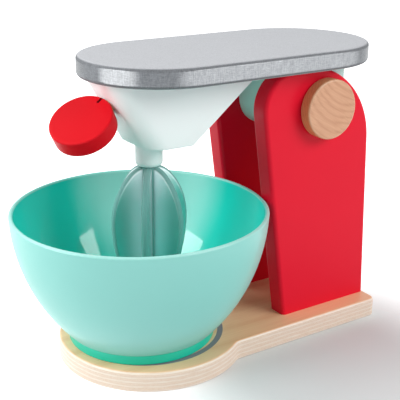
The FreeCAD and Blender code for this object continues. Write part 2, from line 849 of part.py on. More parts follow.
def make_spindle():
    """The dial's dowel, necked where the retaining pin holds it."""
    body = new_body("dial_spindle")
    wide, neck = size["spindle_rad"], size["neck_rad"]
    inner_end = size["spindle_in_dial"] + size["dial_gap"] + size["spindle_in_head"]
    neck_middle = size["spindle_in_dial"] + size["dial_gap"] + size["neck_place"]
    neck_half = size["neck_wide"] * HALF
    turned(body, "SpindleHalf", [
        (ZERO, ZERO),
        (wide, ZERO),
        (wide, neck_middle - neck_half),
        (neck, neck_middle - neck_half),
        (neck, neck_middle + neck_half),
        (wide, neck_middle + neck_half),
        (wide, inner_end),
        (ZERO, inner_end),
    ])
    out = size["spindle_in_dial"] + size["dial_gap"]
    inward = FreeCAD.Vector(0, nose_y.value, nose_z.value)
    place(body, y=dial_foot_y - nose_y * out, z=dial_foot_height - nose_z * out,
          rotation=FreeCAD.Rotation(Z_AXIS, inward))
    return body


def make_pin():
    """The steel pin in the spindle's neck that keeps the dial in, up to just below the plate."""
    pin = doc.addObject("Part::Cylinder", "dial_pin")
    pin.Label = "dial_pin"
    bind(pin, "Radius", size["pin_rad"])
    point = pin_base(ZERO, size["neck_rad"] + size["seat_gap"])
    room = size["head_height"] - size["seat_gap"] - point[2] - size["pin_rad"] * nose_z
    bind(pin, "Height", room / nose_y)
    across = FreeCAD.Vector(0, -nose_z.value, nose_y.value)
    place(pin, y=point[1], z=point[2], rotation=FreeCAD.Rotation(Z_AXIS, across))
    return pin


def make_bowl():
    """The bowl: one arc from its foot ring to its rounded lip, hollow under the foot."""
    body = new_body("bowl")
    wall, foot, arc = size["bowl_wall"], size["foot_rad"], size["bowl_arc_rad"]
    floor, step = size["bowl_floor"], size["foot_high"]
    lip_level = size["bowl_high"] - wall * HALF
    arc_level = lip_level + size["bowl_arc_above"]
    arc_x = size["bowl_rad"] - chord(arc, size["bowl_arc_above"])
    inner_arc = arc - wall
    lip_inner = arc_x + chord(inner_arc, size["bowl_arc_above"])
    lip_half = (size["bowl_rad"] - lip_inner) * HALF
    turned(body, "BowlHalf", [
        (foot - wall, ZERO),
        (foot, ZERO),
        (foot + size["foot_flare"], step),
        (arc_x + chord(arc, arc_level - step), step, arc, 1),
        (size["bowl_rad"], lip_level, lip_half, 1),
        (lip_inner + lip_half, lip_level + lip_half, lip_half, 1),
        (lip_inner, lip_level, inner_arc, -1),
        (arc_x + chord(inner_arc, arc_level - floor), floor),
        (ZERO, floor),
        (ZERO, floor - wall),
        (foot - wall, floor - wall),
    ])
    fillet(body, size["bowl_floor_round"], lambda edge: edge_is_flat_at(edge, floor.value))
    fillet(body, size["foot_edge"], lambda edge: edge_is_flat_at(edge, 0.0))
    place(body, y=-size["bowl_shift"], z=base_top)
    return body


def check_document():
    """Stops the build if any object of the document failed."""
    doc.recompute()
    broken = [obj.Name for obj in doc.Objects if {"Invalid", "Error"} & set(obj.State)]
    if broken:
        raise RuntimeError(f"failed objects: {', '.join(broken)}")


def write_parts(parts):
    """Checks each sub-part's shape and writes it under its label."""
    for part in parts:
        if part.Shape.isNull() or not part.Shape.isValid():
            raise RuntimeError(f"{part.Label} has no valid shape")
    os.makedirs("parts", exist_ok=True)
    for part in parts:
        part.Shape.exportStep(f"parts/{part.Label}.step")
        print(f"{part.Label}: {len(part.Shape.Solids)} solid(s), {part.Shape.Volume:.0f} mm3")


head_dowel_low = size["head_height"] - size["dowel_in_block"] + size["seat_gap"]
head_dowel_long = size["dowel_in_block"] + size["dowel_in_plate"] - size["seat_gap"] * 2
foot_dowel_low = base_top - size["dowel_in_base"] + size["seat_gap"]
foot_dowel_long = size["dowel_in_base"] + size["dowel_in_panel"] - size["seat_gap"] * 2

mixer = [
    make_base_board(),
    make_bowl_ring(),
    make_panel("left_panel", -1),
    make_panel("right_panel", 1),
    make_base_screws(),
    make_dowels("base_dowels", foot_dowel_places, foot_dowel_low, foot_dowel_long),
    make_top_plate(),
    make_housing(),
    make_dowels("housing_dowels", housing_dowel_places, head_dowel_low, head_dowel_long),
    make_hinge_block(),
    make_dowels("block_dowels", block_dowel_places, head_dowel_low, head_dowel_long),
    make_axle(),
    make_knob("left_knob", -1),
    make_knob("right_knob", 1),
    make_collar(),
    make_whisk(),
    make_washer(),
    make_whisk_screw(),
    make_dial(),
    make_spindle(),
    make_pin(),
    make_bowl(),
]
check_document()
write_parts(mixer)
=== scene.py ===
"""Looks of a wooden toy stand mixer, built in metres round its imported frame.

Sizes are in metres, and those of the pieces are written as millimetres times MM. Angles that a
class keeps are in degrees.
"""
import json
import logging
import math
from dataclasses import dataclass, field
from enum import Enum
from functools import cache

import bmesh
import bpy
from mathutils import Matrix, Vector


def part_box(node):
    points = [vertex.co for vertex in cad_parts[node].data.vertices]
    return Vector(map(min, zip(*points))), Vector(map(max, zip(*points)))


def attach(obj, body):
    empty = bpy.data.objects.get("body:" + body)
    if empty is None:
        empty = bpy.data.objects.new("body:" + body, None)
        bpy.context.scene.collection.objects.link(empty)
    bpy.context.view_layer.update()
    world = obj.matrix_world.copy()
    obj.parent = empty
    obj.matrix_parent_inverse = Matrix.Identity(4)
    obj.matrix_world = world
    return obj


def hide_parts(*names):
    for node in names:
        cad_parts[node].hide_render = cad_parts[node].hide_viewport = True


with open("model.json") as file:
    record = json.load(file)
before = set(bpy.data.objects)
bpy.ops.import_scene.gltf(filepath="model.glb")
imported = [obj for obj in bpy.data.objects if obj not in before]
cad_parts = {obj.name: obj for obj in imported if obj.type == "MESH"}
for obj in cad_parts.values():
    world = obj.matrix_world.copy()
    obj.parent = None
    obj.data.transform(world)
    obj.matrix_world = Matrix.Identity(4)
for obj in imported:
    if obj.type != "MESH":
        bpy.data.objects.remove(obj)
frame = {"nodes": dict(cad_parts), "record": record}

log = logging.getLogger("toy_mixer")

Colour = tuple[float, float, float, float]
Triple = tuple[float, float, float]
Range = tuple[float, float]
Socket = bpy.types.NodeSocket
Material = bpy.types.Material
MM = 0.001
WHITE = (1.0, 1.0, 1.0, 1.0)
ORIGIN = (0.0, 0.0, 0.0)


def tone(red: int, green: int, blue: int) -> Colour:
    """Turns a screen colour into the linear colour that shaders take.

    Args:
        red: Red, 0 to 255.
        green: Green, 0 to 255.
        blue: Blue, 0 to 255.

    Returns:
        The linear colour, with an alpha of 1.
    """

    full = 255
    toe_end = 0.04045
    toe_slope = 12.92
    offset = 0.055
    power = 2.4

    def straighten(level: int) -> float:
        """Undoes the screen's curve for one channel.

        Args:
            level: The channel's level, 0 to 255.

        Returns:
            Its linear level, 0 to 1.
        """
        part = level / full
        return part / toe_slope if part <= toe_end else ((part + offset) / (1 + offset)) ** power

    return straighten(red), straighten(green), straighten(blue), 1.0


def bearing(azimuth: float, elevation: float) -> Vector:
    """The direction towards a viewpoint or a lamp.

    Args:
        azimuth: Degrees round the toy from its front, towards its right side.
        elevation: Degrees above the floor.

    Returns:
        The unit vector from the toy.
    """
    turn = math.radians(azimuth)
    rise = math.radians(elevation)
    flat = math.cos(rise)
    return Vector((math.sin(turn) * flat, -math.cos(turn) * flat, math.sin(rise)))


class Graph:
    """A node tree that is being wired, with short calls for the nodes it needs."""

    def __init__(self, tree: bpy.types.NodeTree) -> None:
        """Keeps the tree that the nodes go into."""
        self.tree = tree

    def node(self, kind: str, **settings: object) -> bpy.types.Node:
        """Adds a node.

        Args:
            kind: The node's type name without the leading ShaderNode.
            **settings: Properties to set on it.

        Returns:
            The new node.
        """
        added = self.tree.nodes.new("ShaderNode" + kind)
        for name, value in settings.items():
            setattr(added, name, value)
        return added

    def feed(self, socket: Socket, value: object) -> None:
        """Links an input, or sets it.

        Args:
            socket: The input.
            value: A socket to link, a plain value to set, or None to leave the input as it is.
        """
        if isinstance(value, bpy.types.NodeSocket):
            self.tree.links.new(value, socket)
        elif value is not None:
            socket.default_value = value

    def fill(self, node: bpy.types.Node, values: dict[str, object]) -> bpy.types.Node:
        """Feeds several of a node's inputs.

        Args:
            node: The node.
            values: What goes in, by the inputs' names.

        Returns:
            The same node.
        """
        for name, value in values.items():
            self.feed(node.inputs[name], value)
        return node

    def math(self, operation: str, first: object, second: object = None,
             third: object = None) -> Socket:
        """Adds a Math node.

        Args:
            operation: What it works out.
            first: Its first value.
            second: Its second value, where it takes one.
            third: Its third value, where it takes one.

        Returns:
            The result.
        """
        made = self.node("Math", operation=operation)
        for socket, value in zip(made.inputs, (first, second, third)):
            self.feed(socket, value)
        return made.outputs[0]

    def vector_math(self, operation: str, first: object, second: object = None) -> bpy.types.Node:
        """Adds a Vector Math node.

        Args:
            operation: What it works out.
            first: Its first vector.
            second: Its second vector, where it takes one.

        Returns:
            The node, whose output depends on the operation.
        """
        made = self.node("VectorMath", operation=operation)
        for socket, value in zip(made.inputs, (first, second)):
            self.feed(socket, value)
        return made

    def dot(self, first: object, second: object) -> Socket:
        """The dot product of two vectors."""
        return self.vector_math("DOT_PRODUCT", first, second).outputs["Value"]

    def times(self, first: object, second: object) -> Socket:
        """The product of two values."""
        return self.math("MULTIPLY", first, second)

    def scaled(self, vector: object, scale: object) -> Socket:
        """Scales a vector or a colour.

        Args:
            vector: What is scaled.
            scale: By how much.

        Returns:
            The scaled vector.
        """
        made = self.vector_math("SCALE", vector)
        self.feed(made.inputs["Scale"], scale)
        return made.outputs[0]

    def mix(self, factor: object, first: object, second: object, blend: str = "MIX") -> Socket:
        """Mixes two colours.

        Args:
            factor: How much of the second one there is.
            first: The first colour.
            second: The second colour.
            blend: How they are blended.

        Returns:
            The mixed colour.
        """
        made = self.node("Mix", data_type="RGBA", blend_type=blend)
        for index, value in ((0, factor), (6, first), (7, second)):
            self.feed(made.inputs[index], value)
        return made.outputs[2]

    def span(self, value: object, low: float, high: float, start: object = 0.0,
             end: object = 1.0) -> Socket:
        """Eases a value from one range into another.

        Args:
            value: The value.
            low: Where the range starts, which may be its larger end.
            high: Where the range ends.
            start: The result at its start.
            end: The result at its end.

        Returns:
            The eased value.
        """
        made = self.node("MapRange", interpolation_type="SMOOTHSTEP")
        for index, part in enumerate((value, low, high, start, end)):
            self.feed(made.inputs[index], part)
        return made.outputs[0]

    def noise(self, vector: object, scale: object, detail: float = 3.0,
              rough: float = 0.55) -> Socket:
        """Adds a Noise texture.

        Args:
            vector: Where it is read.
            scale: Its scale.
            detail: Its detail.
            rough: Its roughness.

        Returns:
            Its level.
        """
        made = self.fill(self.node("TexNoise"), {
            "Vector": vector, "Scale": scale, "Detail": detail, "Roughness": rough,
        })
        return made.outputs[0]

    def stretched(self, vector: object, scale: Triple, turn: Triple = ORIGIN,
                  centre: Triple = ORIGIN) -> Socket:
        """Moves a vector to a centre, turns it and scales it, in that order.

        Args:
            vector: The vector.
            scale: Its scale on each axis.
            turn: Its turn round each axis.
            centre: The point that becomes the origin.

        Returns:
            The changed vector.
        """
        moved = self.vector_math("SUBTRACT", vector, centre).outputs[0]
        made = self.fill(self.node("Mapping"), {"Vector": moved, "Rotation": turn, "Scale": scale})
        return made.outputs[0]

    def parts(self, vector: object) -> tuple[Socket, Socket, Socket]:
        """Splits a vector.

        Args:
            vector: The vector.

        Returns:
            Its three components.
        """
        made = self.node("SeparateXYZ")
        self.feed(made.inputs[0], vector)
        return made.outputs[0], made.outputs[1], made.outputs[2]

    def normal(self) -> Socket:
        """The surface's normal in the object's own frame."""
        return self.node("TexCoord").outputs["Normal"]

    def bump(self, height: object, depth: float, strength: float) -> Socket:
        """Adds a Bump node.

        Args:
            height: The height.
            depth: How deep it goes, in metres.
            strength: How strong it looks.

        Returns:
            The normal.
        """
        made = self.fill(self.node("Bump"), {
            "Height": height, "Distance": depth, "Strength": strength,
        })
        return made.outputs[0]


class SocketKind(Enum):
    """What a shared effect's socket carries."""

    VALUE = "NodeSocketFloat"
    COLOUR = "NodeSocketColor"
    VECTOR = "NodeSocketVector"


class Effect:
    """A shader node group that several finishes share, being built."""

    def __init__(self, name: str, takes: dict[str, SocketKind],
                 gives: dict[str, SocketKind]) -> None:
        """Makes the group and its named sockets.

        Args:
            name: The group's name.
            takes: Its inputs by name.
            gives: Its outputs by name.
        """
        self.tree = bpy.data.node_groups.new(name, "ShaderNodeTree")
        for side, sockets in (("INPUT", takes), ("OUTPUT", gives)):
            for label, kind in sockets.items():
                self.tree.interface.new_socket(name=label, in_out=side, socket_type=kind.value)
        self.graph = Graph(self.tree)
        self.takes = self.tree.nodes.new("NodeGroupInput").outputs
        self.gives = self.tree.nodes.new("NodeGroupOutput").inputs

    def finish(self, **results: object) -> bpy.types.NodeTree:
        """Feeds the outputs.

        Args:
            **results: What goes out, by the outputs' names with underscores for spaces.

        Returns:
            The finished group.
        """
        for name, value in results.items():
            self.graph.feed(self.gives[name.replace("_", " ")], value)
        return self.tree


@cache
def wood_grain() -> bpy.types.NodeTree:
    """Growth rings, fibres and pores of wood whose grain runs along the vector's X.

    Returns:
        The group, which gives a colour and a height.
    """
    ring_run = (0.12, 1.0, 1.0)
    fibre_run = (0.03, 1.0, 1.0)
    pore_run = (0.09, 1.0, 1.0)
    drift_scale = 0.22
    drift_rings = 2.6
    slant = 0.45
    late_wood = 2.4
    pore_scale = 1.7
    pore_range = (0.62, 0.74)
    strand_contrast = 0.85
    strand_level = 0.22
    pore_shade = 0.18
    pore_depth = 0.6
    fibre_depth = 0.4
    effect = Effect("wood_grain", {
        "Vector": SocketKind.VECTOR, "Pale": SocketKind.COLOUR, "Deep": SocketKind.COLOUR,
        "Ring Scale": SocketKind.VALUE, "Fibre Scale": SocketKind.VALUE,
        "Figure": SocketKind.VALUE, "Bend": SocketKind.VALUE,
    }, {"Color": SocketKind.COLOUR, "Height": SocketKind.VALUE})
    graph, takes = effect.graph, effect.takes
    run, _, _ = graph.parts(takes["Vector"])
    curve = graph.node("CombineXYZ")
    graph.feed(curve.inputs[1], graph.times(graph.times(run, run), takes["Bend"]))
    bent = graph.vector_math("ADD", takes["Vector"], curve.outputs[0]).outputs[0]
    along = graph.stretched(bent, ring_run)
    drift = graph.noise(along, graph.times(takes["Ring Scale"], drift_scale), detail=2.0)
    _, across, through = graph.parts(along)
    depth = graph.math("MULTIPLY_ADD", through, slant, across)
    phase = graph.math("MULTIPLY_ADD", drift, drift_rings, graph.times(depth, takes["Ring Scale"]))
    wave = graph.math("SINE", graph.times(phase, math.tau))
    late = graph.math("POWER", graph.math("MULTIPLY_ADD", wave, 0.5, 0.5), late_wood)
    fibre = graph.noise(graph.stretched(bent, fibre_run), takes["Fibre Scale"],
                        detail=5.0, rough=0.7)
    pore_field = graph.noise(graph.stretched(bent, pore_run),
                             graph.times(takes["Fibre Scale"], pore_scale), detail=2.0)
    pores = graph.span(pore_field, *pore_range)
    figure = graph.times(late, takes["Figure"])
    strands = graph.math("MULTIPLY_ADD", graph.math("SUBTRACT", fibre, 0.5),
                         strand_contrast, strand_level)
    shade = graph.math("ADD", figure, graph.math("MULTIPLY_ADD", pores, pore_shade, strands))
    clamped = graph.node("Clamp")
    graph.feed(clamped.inputs[0], shade)
    colour = graph.mix(clamped.outputs[0], takes["Pale"], takes["Deep"])
    sunk = graph.math("MULTIPLY_ADD", pores, pore_depth, graph.times(fibre, fibre_depth))
    return effect.finish(Color=colour, Height=graph.math("SUBTRACT", 1.0, sunk))


@cache
def paint_skin() -> bpy.types.NodeTree:
    """Sprayed paint: a slow mottle in colour and gloss, and fine dimples.

    Returns:
        The group, which gives a colour, a roughness and a height.
    """
    slow_scale = 28.0
    middle_scale = 240.0
    gloss_change = 0.12
    effect = Effect("paint_skin", {
        "Vector": SocketKind.VECTOR, "Paint": SocketKind.COLOUR, "Gloss": SocketKind.VALUE,
        "Mottle": SocketKind.VALUE, "Dimple Scale": SocketKind.VALUE,
    }, {"Color": SocketKind.COLOUR, "Roughness": SocketKind.VALUE, "Height": SocketKind.VALUE})
    graph, takes = effect.graph, effect.takes
    slow = graph.noise(takes["Vector"], slow_scale)
    middle = graph.noise(takes["Vector"], middle_scale, detail=4.0)
    shift = graph.times(graph.math("SUBTRACT", slow, 0.5), takes["Mottle"])
    colour = graph.scaled(takes["Paint"], graph.math("ADD", 1.0, shift))
    uneven = graph.math("SUBTRACT", middle, 0.5)
    rough = graph.math("MULTIPLY_ADD", uneven, gloss_change, takes["Gloss"])
    dimples = graph.noise(takes["Vector"], takes["Dimple Scale"], detail=2.0)
    return effect.finish(Color=colour, Roughness=rough, Height=dimples)


@cache
def edge_wear_and_highlight() -> bpy.types.NodeTree:
    """Where a surface turns sharply, broken up in patches: worn edges, and painted edge highlights.

    Returns:
        The group, which gives a mask.
    """
    flat_agreement = 0.995
    worn_agreement = 0.93
    patch_scale = 130.0
    patch_range = (0.35, 0.65)
    effect = Effect("edge_wear_and_highlight", {
        "Vector": SocketKind.VECTOR, "Radius": SocketKind.VALUE, "Breakup": SocketKind.VALUE,
    }, {"Mask": SocketKind.VALUE})
    graph, takes = effect.graph, effect.takes
    bevel = graph.node("Bevel", samples=4)
    graph.feed(bevel.inputs["Radius"], takes["Radius"])
    plain = graph.node("NewGeometry").outputs["True Normal"]
    edge = graph.span(graph.dot(bevel.outputs[0], plain), flat_agreement, worn_agreement)
    patches = graph.span(graph.noise(takes["Vector"], patch_scale, detail=4.0), *patch_range)
    kept = graph.math("SUBTRACT", 1.0, graph.times(takes["Breakup"], patches))
    return effect.finish(Mask=graph.times(edge, kept))


@cache
def handling() -> bpy.types.NodeTree:
    """Faint smears that hands leave on a glossy surface.

    Returns:
        The group, which gives a roughness.
    """
    broad_scale = 22.0
    broad_range = (0.45, 0.7)
    fine_scale = 420.0
    effect = Effect("handling", {
        "Vector": SocketKind.VECTOR, "Roughness": SocketKind.VALUE, "Amount": SocketKind.VALUE,
    }, {"Roughness": SocketKind.VALUE})
    graph, takes = effect.graph, effect.takes
    broad = graph.span(graph.noise(takes["Vector"], broad_scale, detail=4.0), *broad_range)
    fine = graph.noise(takes["Vector"], fine_scale)
    smear = graph.times(graph.times(broad, fine), takes["Amount"])
    return effect.finish(Roughness=graph.math("ADD", takes["Roughness"], smear))


@cache
def metal_flake() -> bpy.types.NodeTree:
    """Small bright and dark flakes of silver paint or plated steel.

    Returns:
        The group, which gives a level round 1 and a height.
    """
    grit_scale = 0.4
    effect = Effect("metal_flake", {
        "Vector": SocketKind.VECTOR, "Scale": SocketKind.VALUE, "Contrast": SocketKind.VALUE,
    }, {"Level": SocketKind.VALUE, "Height": SocketKind.VALUE})
    graph, takes = effect.graph, effect.takes
    cells = graph.fill(graph.node("TexVoronoi"), {
        "Vector": takes["Vector"], "Scale": takes["Scale"],
    })
    pick, _, _ = graph.parts(cells.outputs["Color"])
    grit = graph.noise(takes["Vector"], graph.times(takes["Scale"], grit_scale), rough=0.7)
    blend = graph.math("MULTIPLY_ADD", graph.math("ADD", pick, grit), takes["Contrast"], 1.0)
    return effect.finish(Level=graph.math("SUBTRACT", blend, takes["Contrast"]), Height=grit)


class Finish:
    """What every finish shares: one Principled shader and the object's own coordinates."""

    name: str

    def start(self) -> tuple[Material, Graph, bpy.types.Node, Socket]:
        """Makes the empty material.

        Returns:
            The material, its graph, its Principled shader and the object coordinates.
        """
        material = bpy.data.materials.new(self.name)
        material.use_nodes = True
        graph = Graph(material.node_tree)
        shader = material.node_tree.nodes["Principled BSDF"]
        place = graph.node("TexCoord").outputs["Object"]
        return material, graph, shader, place

    def use(self, graph: Graph, group: bpy.types.NodeTree, **values: object) -> bpy.types.Node:
        """Places a shared effect.

        Args:
            graph: The material's graph.
            group: The effect.
            **values: What goes in, by the inputs' names with underscores for spaces.

        Returns:
            The effect's node.
        """
        made = graph.node("Group")
        made.node_tree = group
        return graph.fill(made, {key.replace("_", " "): value for key, value in values.items()})


@dataclass(frozen=True)
class SolidWood(Finish):
    """Bare or lacquered wood with its grain along a chosen direction."""

    name: str
    pale: Colour
    deep: Colour
    turn: Triple = ORIGIN
    centre: Triple = ORIGIN
    ring_scale: float = 150.0
    fibre_scale: float = 900.0
    figure: float = 0.3
    bend: float = 0.0
    roughness: float = 0.45
    smear: float = 0.12
    lacquer: float = 0.2
    lacquer_roughness: float = 0.25
    edge_colour: Colour | None = None
    edge_rad: float = 1.2 * MM
    edge_breakup: float = 0.2
    edge_part: float = 0.8
    side_tint: Colour | None = None
    side_facing: Range = (0.8, 0.3)
    pore_depth: float = 0.05 * MM
    pore_strength: float = 0.6

    def build(self) -> Material:
        """Makes the material.

        Returns:
            The wood material.
        """
        material, graph, shader, place = self.start()
        run = graph.stretched(place, (1.0, 1.0, 1.0), self.turn, self.centre)
        grain = self.use(graph, wood_grain(), Vector=run, Pale=self.pale, Deep=self.deep,
                         Ring_Scale=self.ring_scale, Fibre_Scale=self.fibre_scale,
                         Figure=self.figure, Bend=self.bend)
        colour = grain.outputs["Color"]
        if self.side_tint is not None:
            sideways, _, _ = graph.parts(graph.normal())
            side = graph.span(graph.math("ABSOLUTE", sideways), *self.side_facing)
            tinted = graph.mix(1.0, colour, self.side_tint, "MULTIPLY")
            colour = graph.mix(side, colour, tinted)
        # Paints the edge colour along rounded edges; on the knobs it is a painted highlight.
        if self.edge_colour is not None:
            wear = self.use(graph, edge_wear_and_highlight(), Vector=place, Radius=self.edge_rad,
                            Breakup=self.edge_breakup)
            part = graph.times(wear.outputs["Mask"], self.edge_part)
            colour = graph.mix(part, colour, self.edge_colour)
        smear = self.use(graph, handling(), Vector=place, Roughness=self.roughness,
                         Amount=self.smear)
        graph.fill(shader, {
            "Base Color": colour, "Roughness": smear.outputs["Roughness"],
            "Coat Weight": self.lacquer, "Coat Roughness": self.lacquer_roughness,
            "Normal": graph.bump(grain.outputs["Height"], self.pore_depth, self.pore_strength),
        })
        return material


@dataclass(frozen=True)
class BirchPlywood(Finish):
    """Birch plywood: a veneer above and below, and its plies on the edge."""

    name: str = "birch_plywood"
    thick: float = 12.7 * MM
    plies: int = 9
    veneer_pale: Colour = tone(252, 210, 168)
    veneer_deep: Colour = tone(228, 168, 122)
    veneer_rings: float = 60.0
    veneer_fibres: float = 700.0
    veneer_figure: float = 0.3
    veneer_facing: Range = (0.72, 0.9)
    ply_long: Colour = tone(250, 234, 220)
    ply_cross: Colour = tone(234, 206, 182)
    ply_wander: float = 0.6 * MM
    wander_scale: float = 35.0
    streak_run: Triple = (0.25, 0.25, 5.0)
    streak_scale: float = 420.0
    streak_range: Range = (0.4, 0.75)
    end_scale: float = 1500.0
    end_range: Range = (0.35, 0.7)
    end_relief: float = 0.3
    cross_part: float = 0.45
    glue: Colour = tone(192, 150, 120)
    glue_part: float = 0.4
    glue_range: Range = (0.4, 0.5)
    roughness: float = 0.42
    smear: float = 0.12
    lacquer: float = 0.15
    lacquer_roughness: float = 0.3
    worn_rad: float = 1.0 * MM
    worn_breakup: float = 0.5
    worn_part: float = 0.12
    relief: float = 0.05 * MM
    relief_strength: float = 0.6

    def build(self) -> Material:
        """Makes the material.

        Returns:
            The plywood material.
        """
        material, graph, shader, place = self.start()
        lengthways = graph.stretched(place, (1.0, 1.0, 1.0), (0.0, 0.0, math.radians(-90)))
        veneer = self.use(graph, wood_grain(), Vector=lengthways, Pale=self.veneer_pale,
                          Deep=self.veneer_deep, Ring_Scale=self.veneer_rings,
                          Fibre_Scale=self.veneer_fibres, Figure=self.veneer_figure)
        ends = graph.noise(place, self.end_scale, rough=0.7)
        edge = self.edge_colour(graph, place, ends)
        _, _, lean = graph.parts(graph.normal())
        level = graph.span(graph.math("ABSOLUTE", lean), *self.veneer_facing)
        wear = self.use(graph, edge_wear_and_highlight(), Vector=place, Radius=self.worn_rad,
                        Breakup=self.worn_breakup)
        body = graph.mix(level, edge, veneer.outputs["Color"])
        body = graph.mix(graph.times(wear.outputs["Mask"], self.worn_part), body, self.ply_long)
        relief = graph.math("ADD", veneer.outputs["Height"], graph.times(ends, self.end_relief))
        smear = self.use(graph, handling(), Vector=place, Roughness=self.roughness,
                         Amount=self.smear)
        graph.fill(shader, {
            "Base Color": body, "Roughness": smear.outputs["Roughness"],
            "Coat Weight": self.lacquer, "Coat Roughness": self.lacquer_roughness,
            "Normal": graph.bump(relief, self.relief, self.relief_strength),
        })
        return material

    def edge_colour(self, graph: Graph, place: Socket, ends: Socket) -> Socket:
        """The plies that the board's edge shows, with the glue between them.

        Args:
            graph: The material's graph.
            place: The object coordinates.
            ends: The level of the end grain.

        Returns:
            The edge's colour.
        """
        _, _, height = graph.parts(place)
        drift = graph.noise(place, self.wander_scale, detail=2.0)
        uneven = graph.math("SUBTRACT", drift, 0.5)
        wander = graph.times(uneven, self.ply_wander)
        layer = graph.math("DIVIDE", graph.math("ADD", height, wander), self.thick / self.plies)
        odd = graph.math("MODULO", graph.math("FLOOR", layer), 2.0)
        streaks = graph.noise(graph.stretched(place, self.streak_run), self.streak_scale,
                              detail=5.0, rough=0.7)
        dark_streaks = graph.span(streaks, *self.streak_range)
        long_ply = graph.mix(dark_streaks, self.ply_long, self.ply_cross)
        cross_ply = graph.mix(graph.span(ends, *self.end_range), self.ply_long, self.ply_cross)
        deeper = graph.mix(self.cross_part, cross_ply, self.ply_cross)
        plies = graph.mix(odd, long_ply, deeper)
        centred = graph.math("SUBTRACT", graph.math("FRACT", layer), 0.5)
        line = graph.span(graph.math("ABSOLUTE", centred), *self.glue_range)
        return graph.mix(graph.times(line, self.glue_part), plies, self.glue)


@dataclass(frozen=True)
class PointerMark:
    """The dark floor of the dial's pointer groove."""

    centre: Triple
    face: Triple
    level: float
    colour: Colour = tone(62, 6, 14)
    sunk_from: float = 0.25 * MM
    sunk_full: float = 0.45 * MM
    floor_from: float = 0.95 * MM
    floor_end: float = 1.2 * MM
    floor_facing: Range = (0.8, 0.95)

    def over(self, graph: Graph, place: Socket, colour: Socket) -> Socket:
        """Darkens the paint in the groove.

        Args:
            graph: The material's graph.
            place: The object coordinates.
            colour: The paint's colour.

        Returns:
            The colour with the groove in it.
        """
        lean = graph.dot(graph.vector_math("SUBTRACT", place, self.centre).outputs[0], self.face)
        level_part = graph.span(graph.dot(graph.normal(), self.face), *self.floor_facing)
        sunk = graph.span(lean, self.level - self.sunk_from, self.level - self.sunk_full)
        deep = graph.span(lean, self.level - self.floor_end, self.level - self.floor_from)
        floor = graph.times(level_part, graph.times(sunk, deep))
        return graph.mix(floor, colour, self.colour)


@dataclass(frozen=True)
class SatinPaint(Finish):
    """Sprayed satin paint on wood, paler along the edges: thinner paint and a painted highlight."""

    name: str
    paint: Colour
    edge: Colour
    gloss: float = 0.34
    mottle: float = 0.06
    dimple_scale: float = 1300.0
    edge_rad: float = 0.9 * MM
    edge_breakup: float = 0.6
    edge_part: float = 0.25
    sheen: float = 0.22
    weave_run: Triple = (0.06, 1.0, 0.06)
    weave_scale: float = 520.0
    weave_part: float = 0.5
    relief: float = 0.03 * MM
    relief_strength: float = 0.5
    mark: PointerMark | None = None

    def build(self) -> Material:
        """Makes the material.

        Returns:
            The painted material.
        """
        material, graph, shader, place = self.start()
        skin = self.use(graph, paint_skin(), Vector=place, Paint=self.paint, Gloss=self.gloss,
                        Mottle=self.mottle, Dimple_Scale=self.dimple_scale)
        wear = self.use(graph, edge_wear_and_highlight(), Vector=place, Radius=self.edge_rad,
                        Breakup=self.edge_breakup)
        # Paler edges: thinner paint there, and a painted highlight on the rounded edges.
        part = graph.times(wear.outputs["Mask"], self.edge_part)
        colour = graph.mix(part, skin.outputs["Color"], self.edge)
        if self.mark is not None:
            colour = self.mark.over(graph, place, colour)
        weave = graph.noise(graph.stretched(place, self.weave_run), self.weave_scale)
        relief = graph.math("MULTIPLY_ADD", weave, self.weave_part, skin.outputs["Height"])
        graph.fill(shader, {
            "Base Color": colour, "Roughness": skin.outputs["Roughness"],
            "Specular IOR Level": self.sheen,
            "Normal": graph.bump(relief, self.relief, self.relief_strength),
        })
        return material


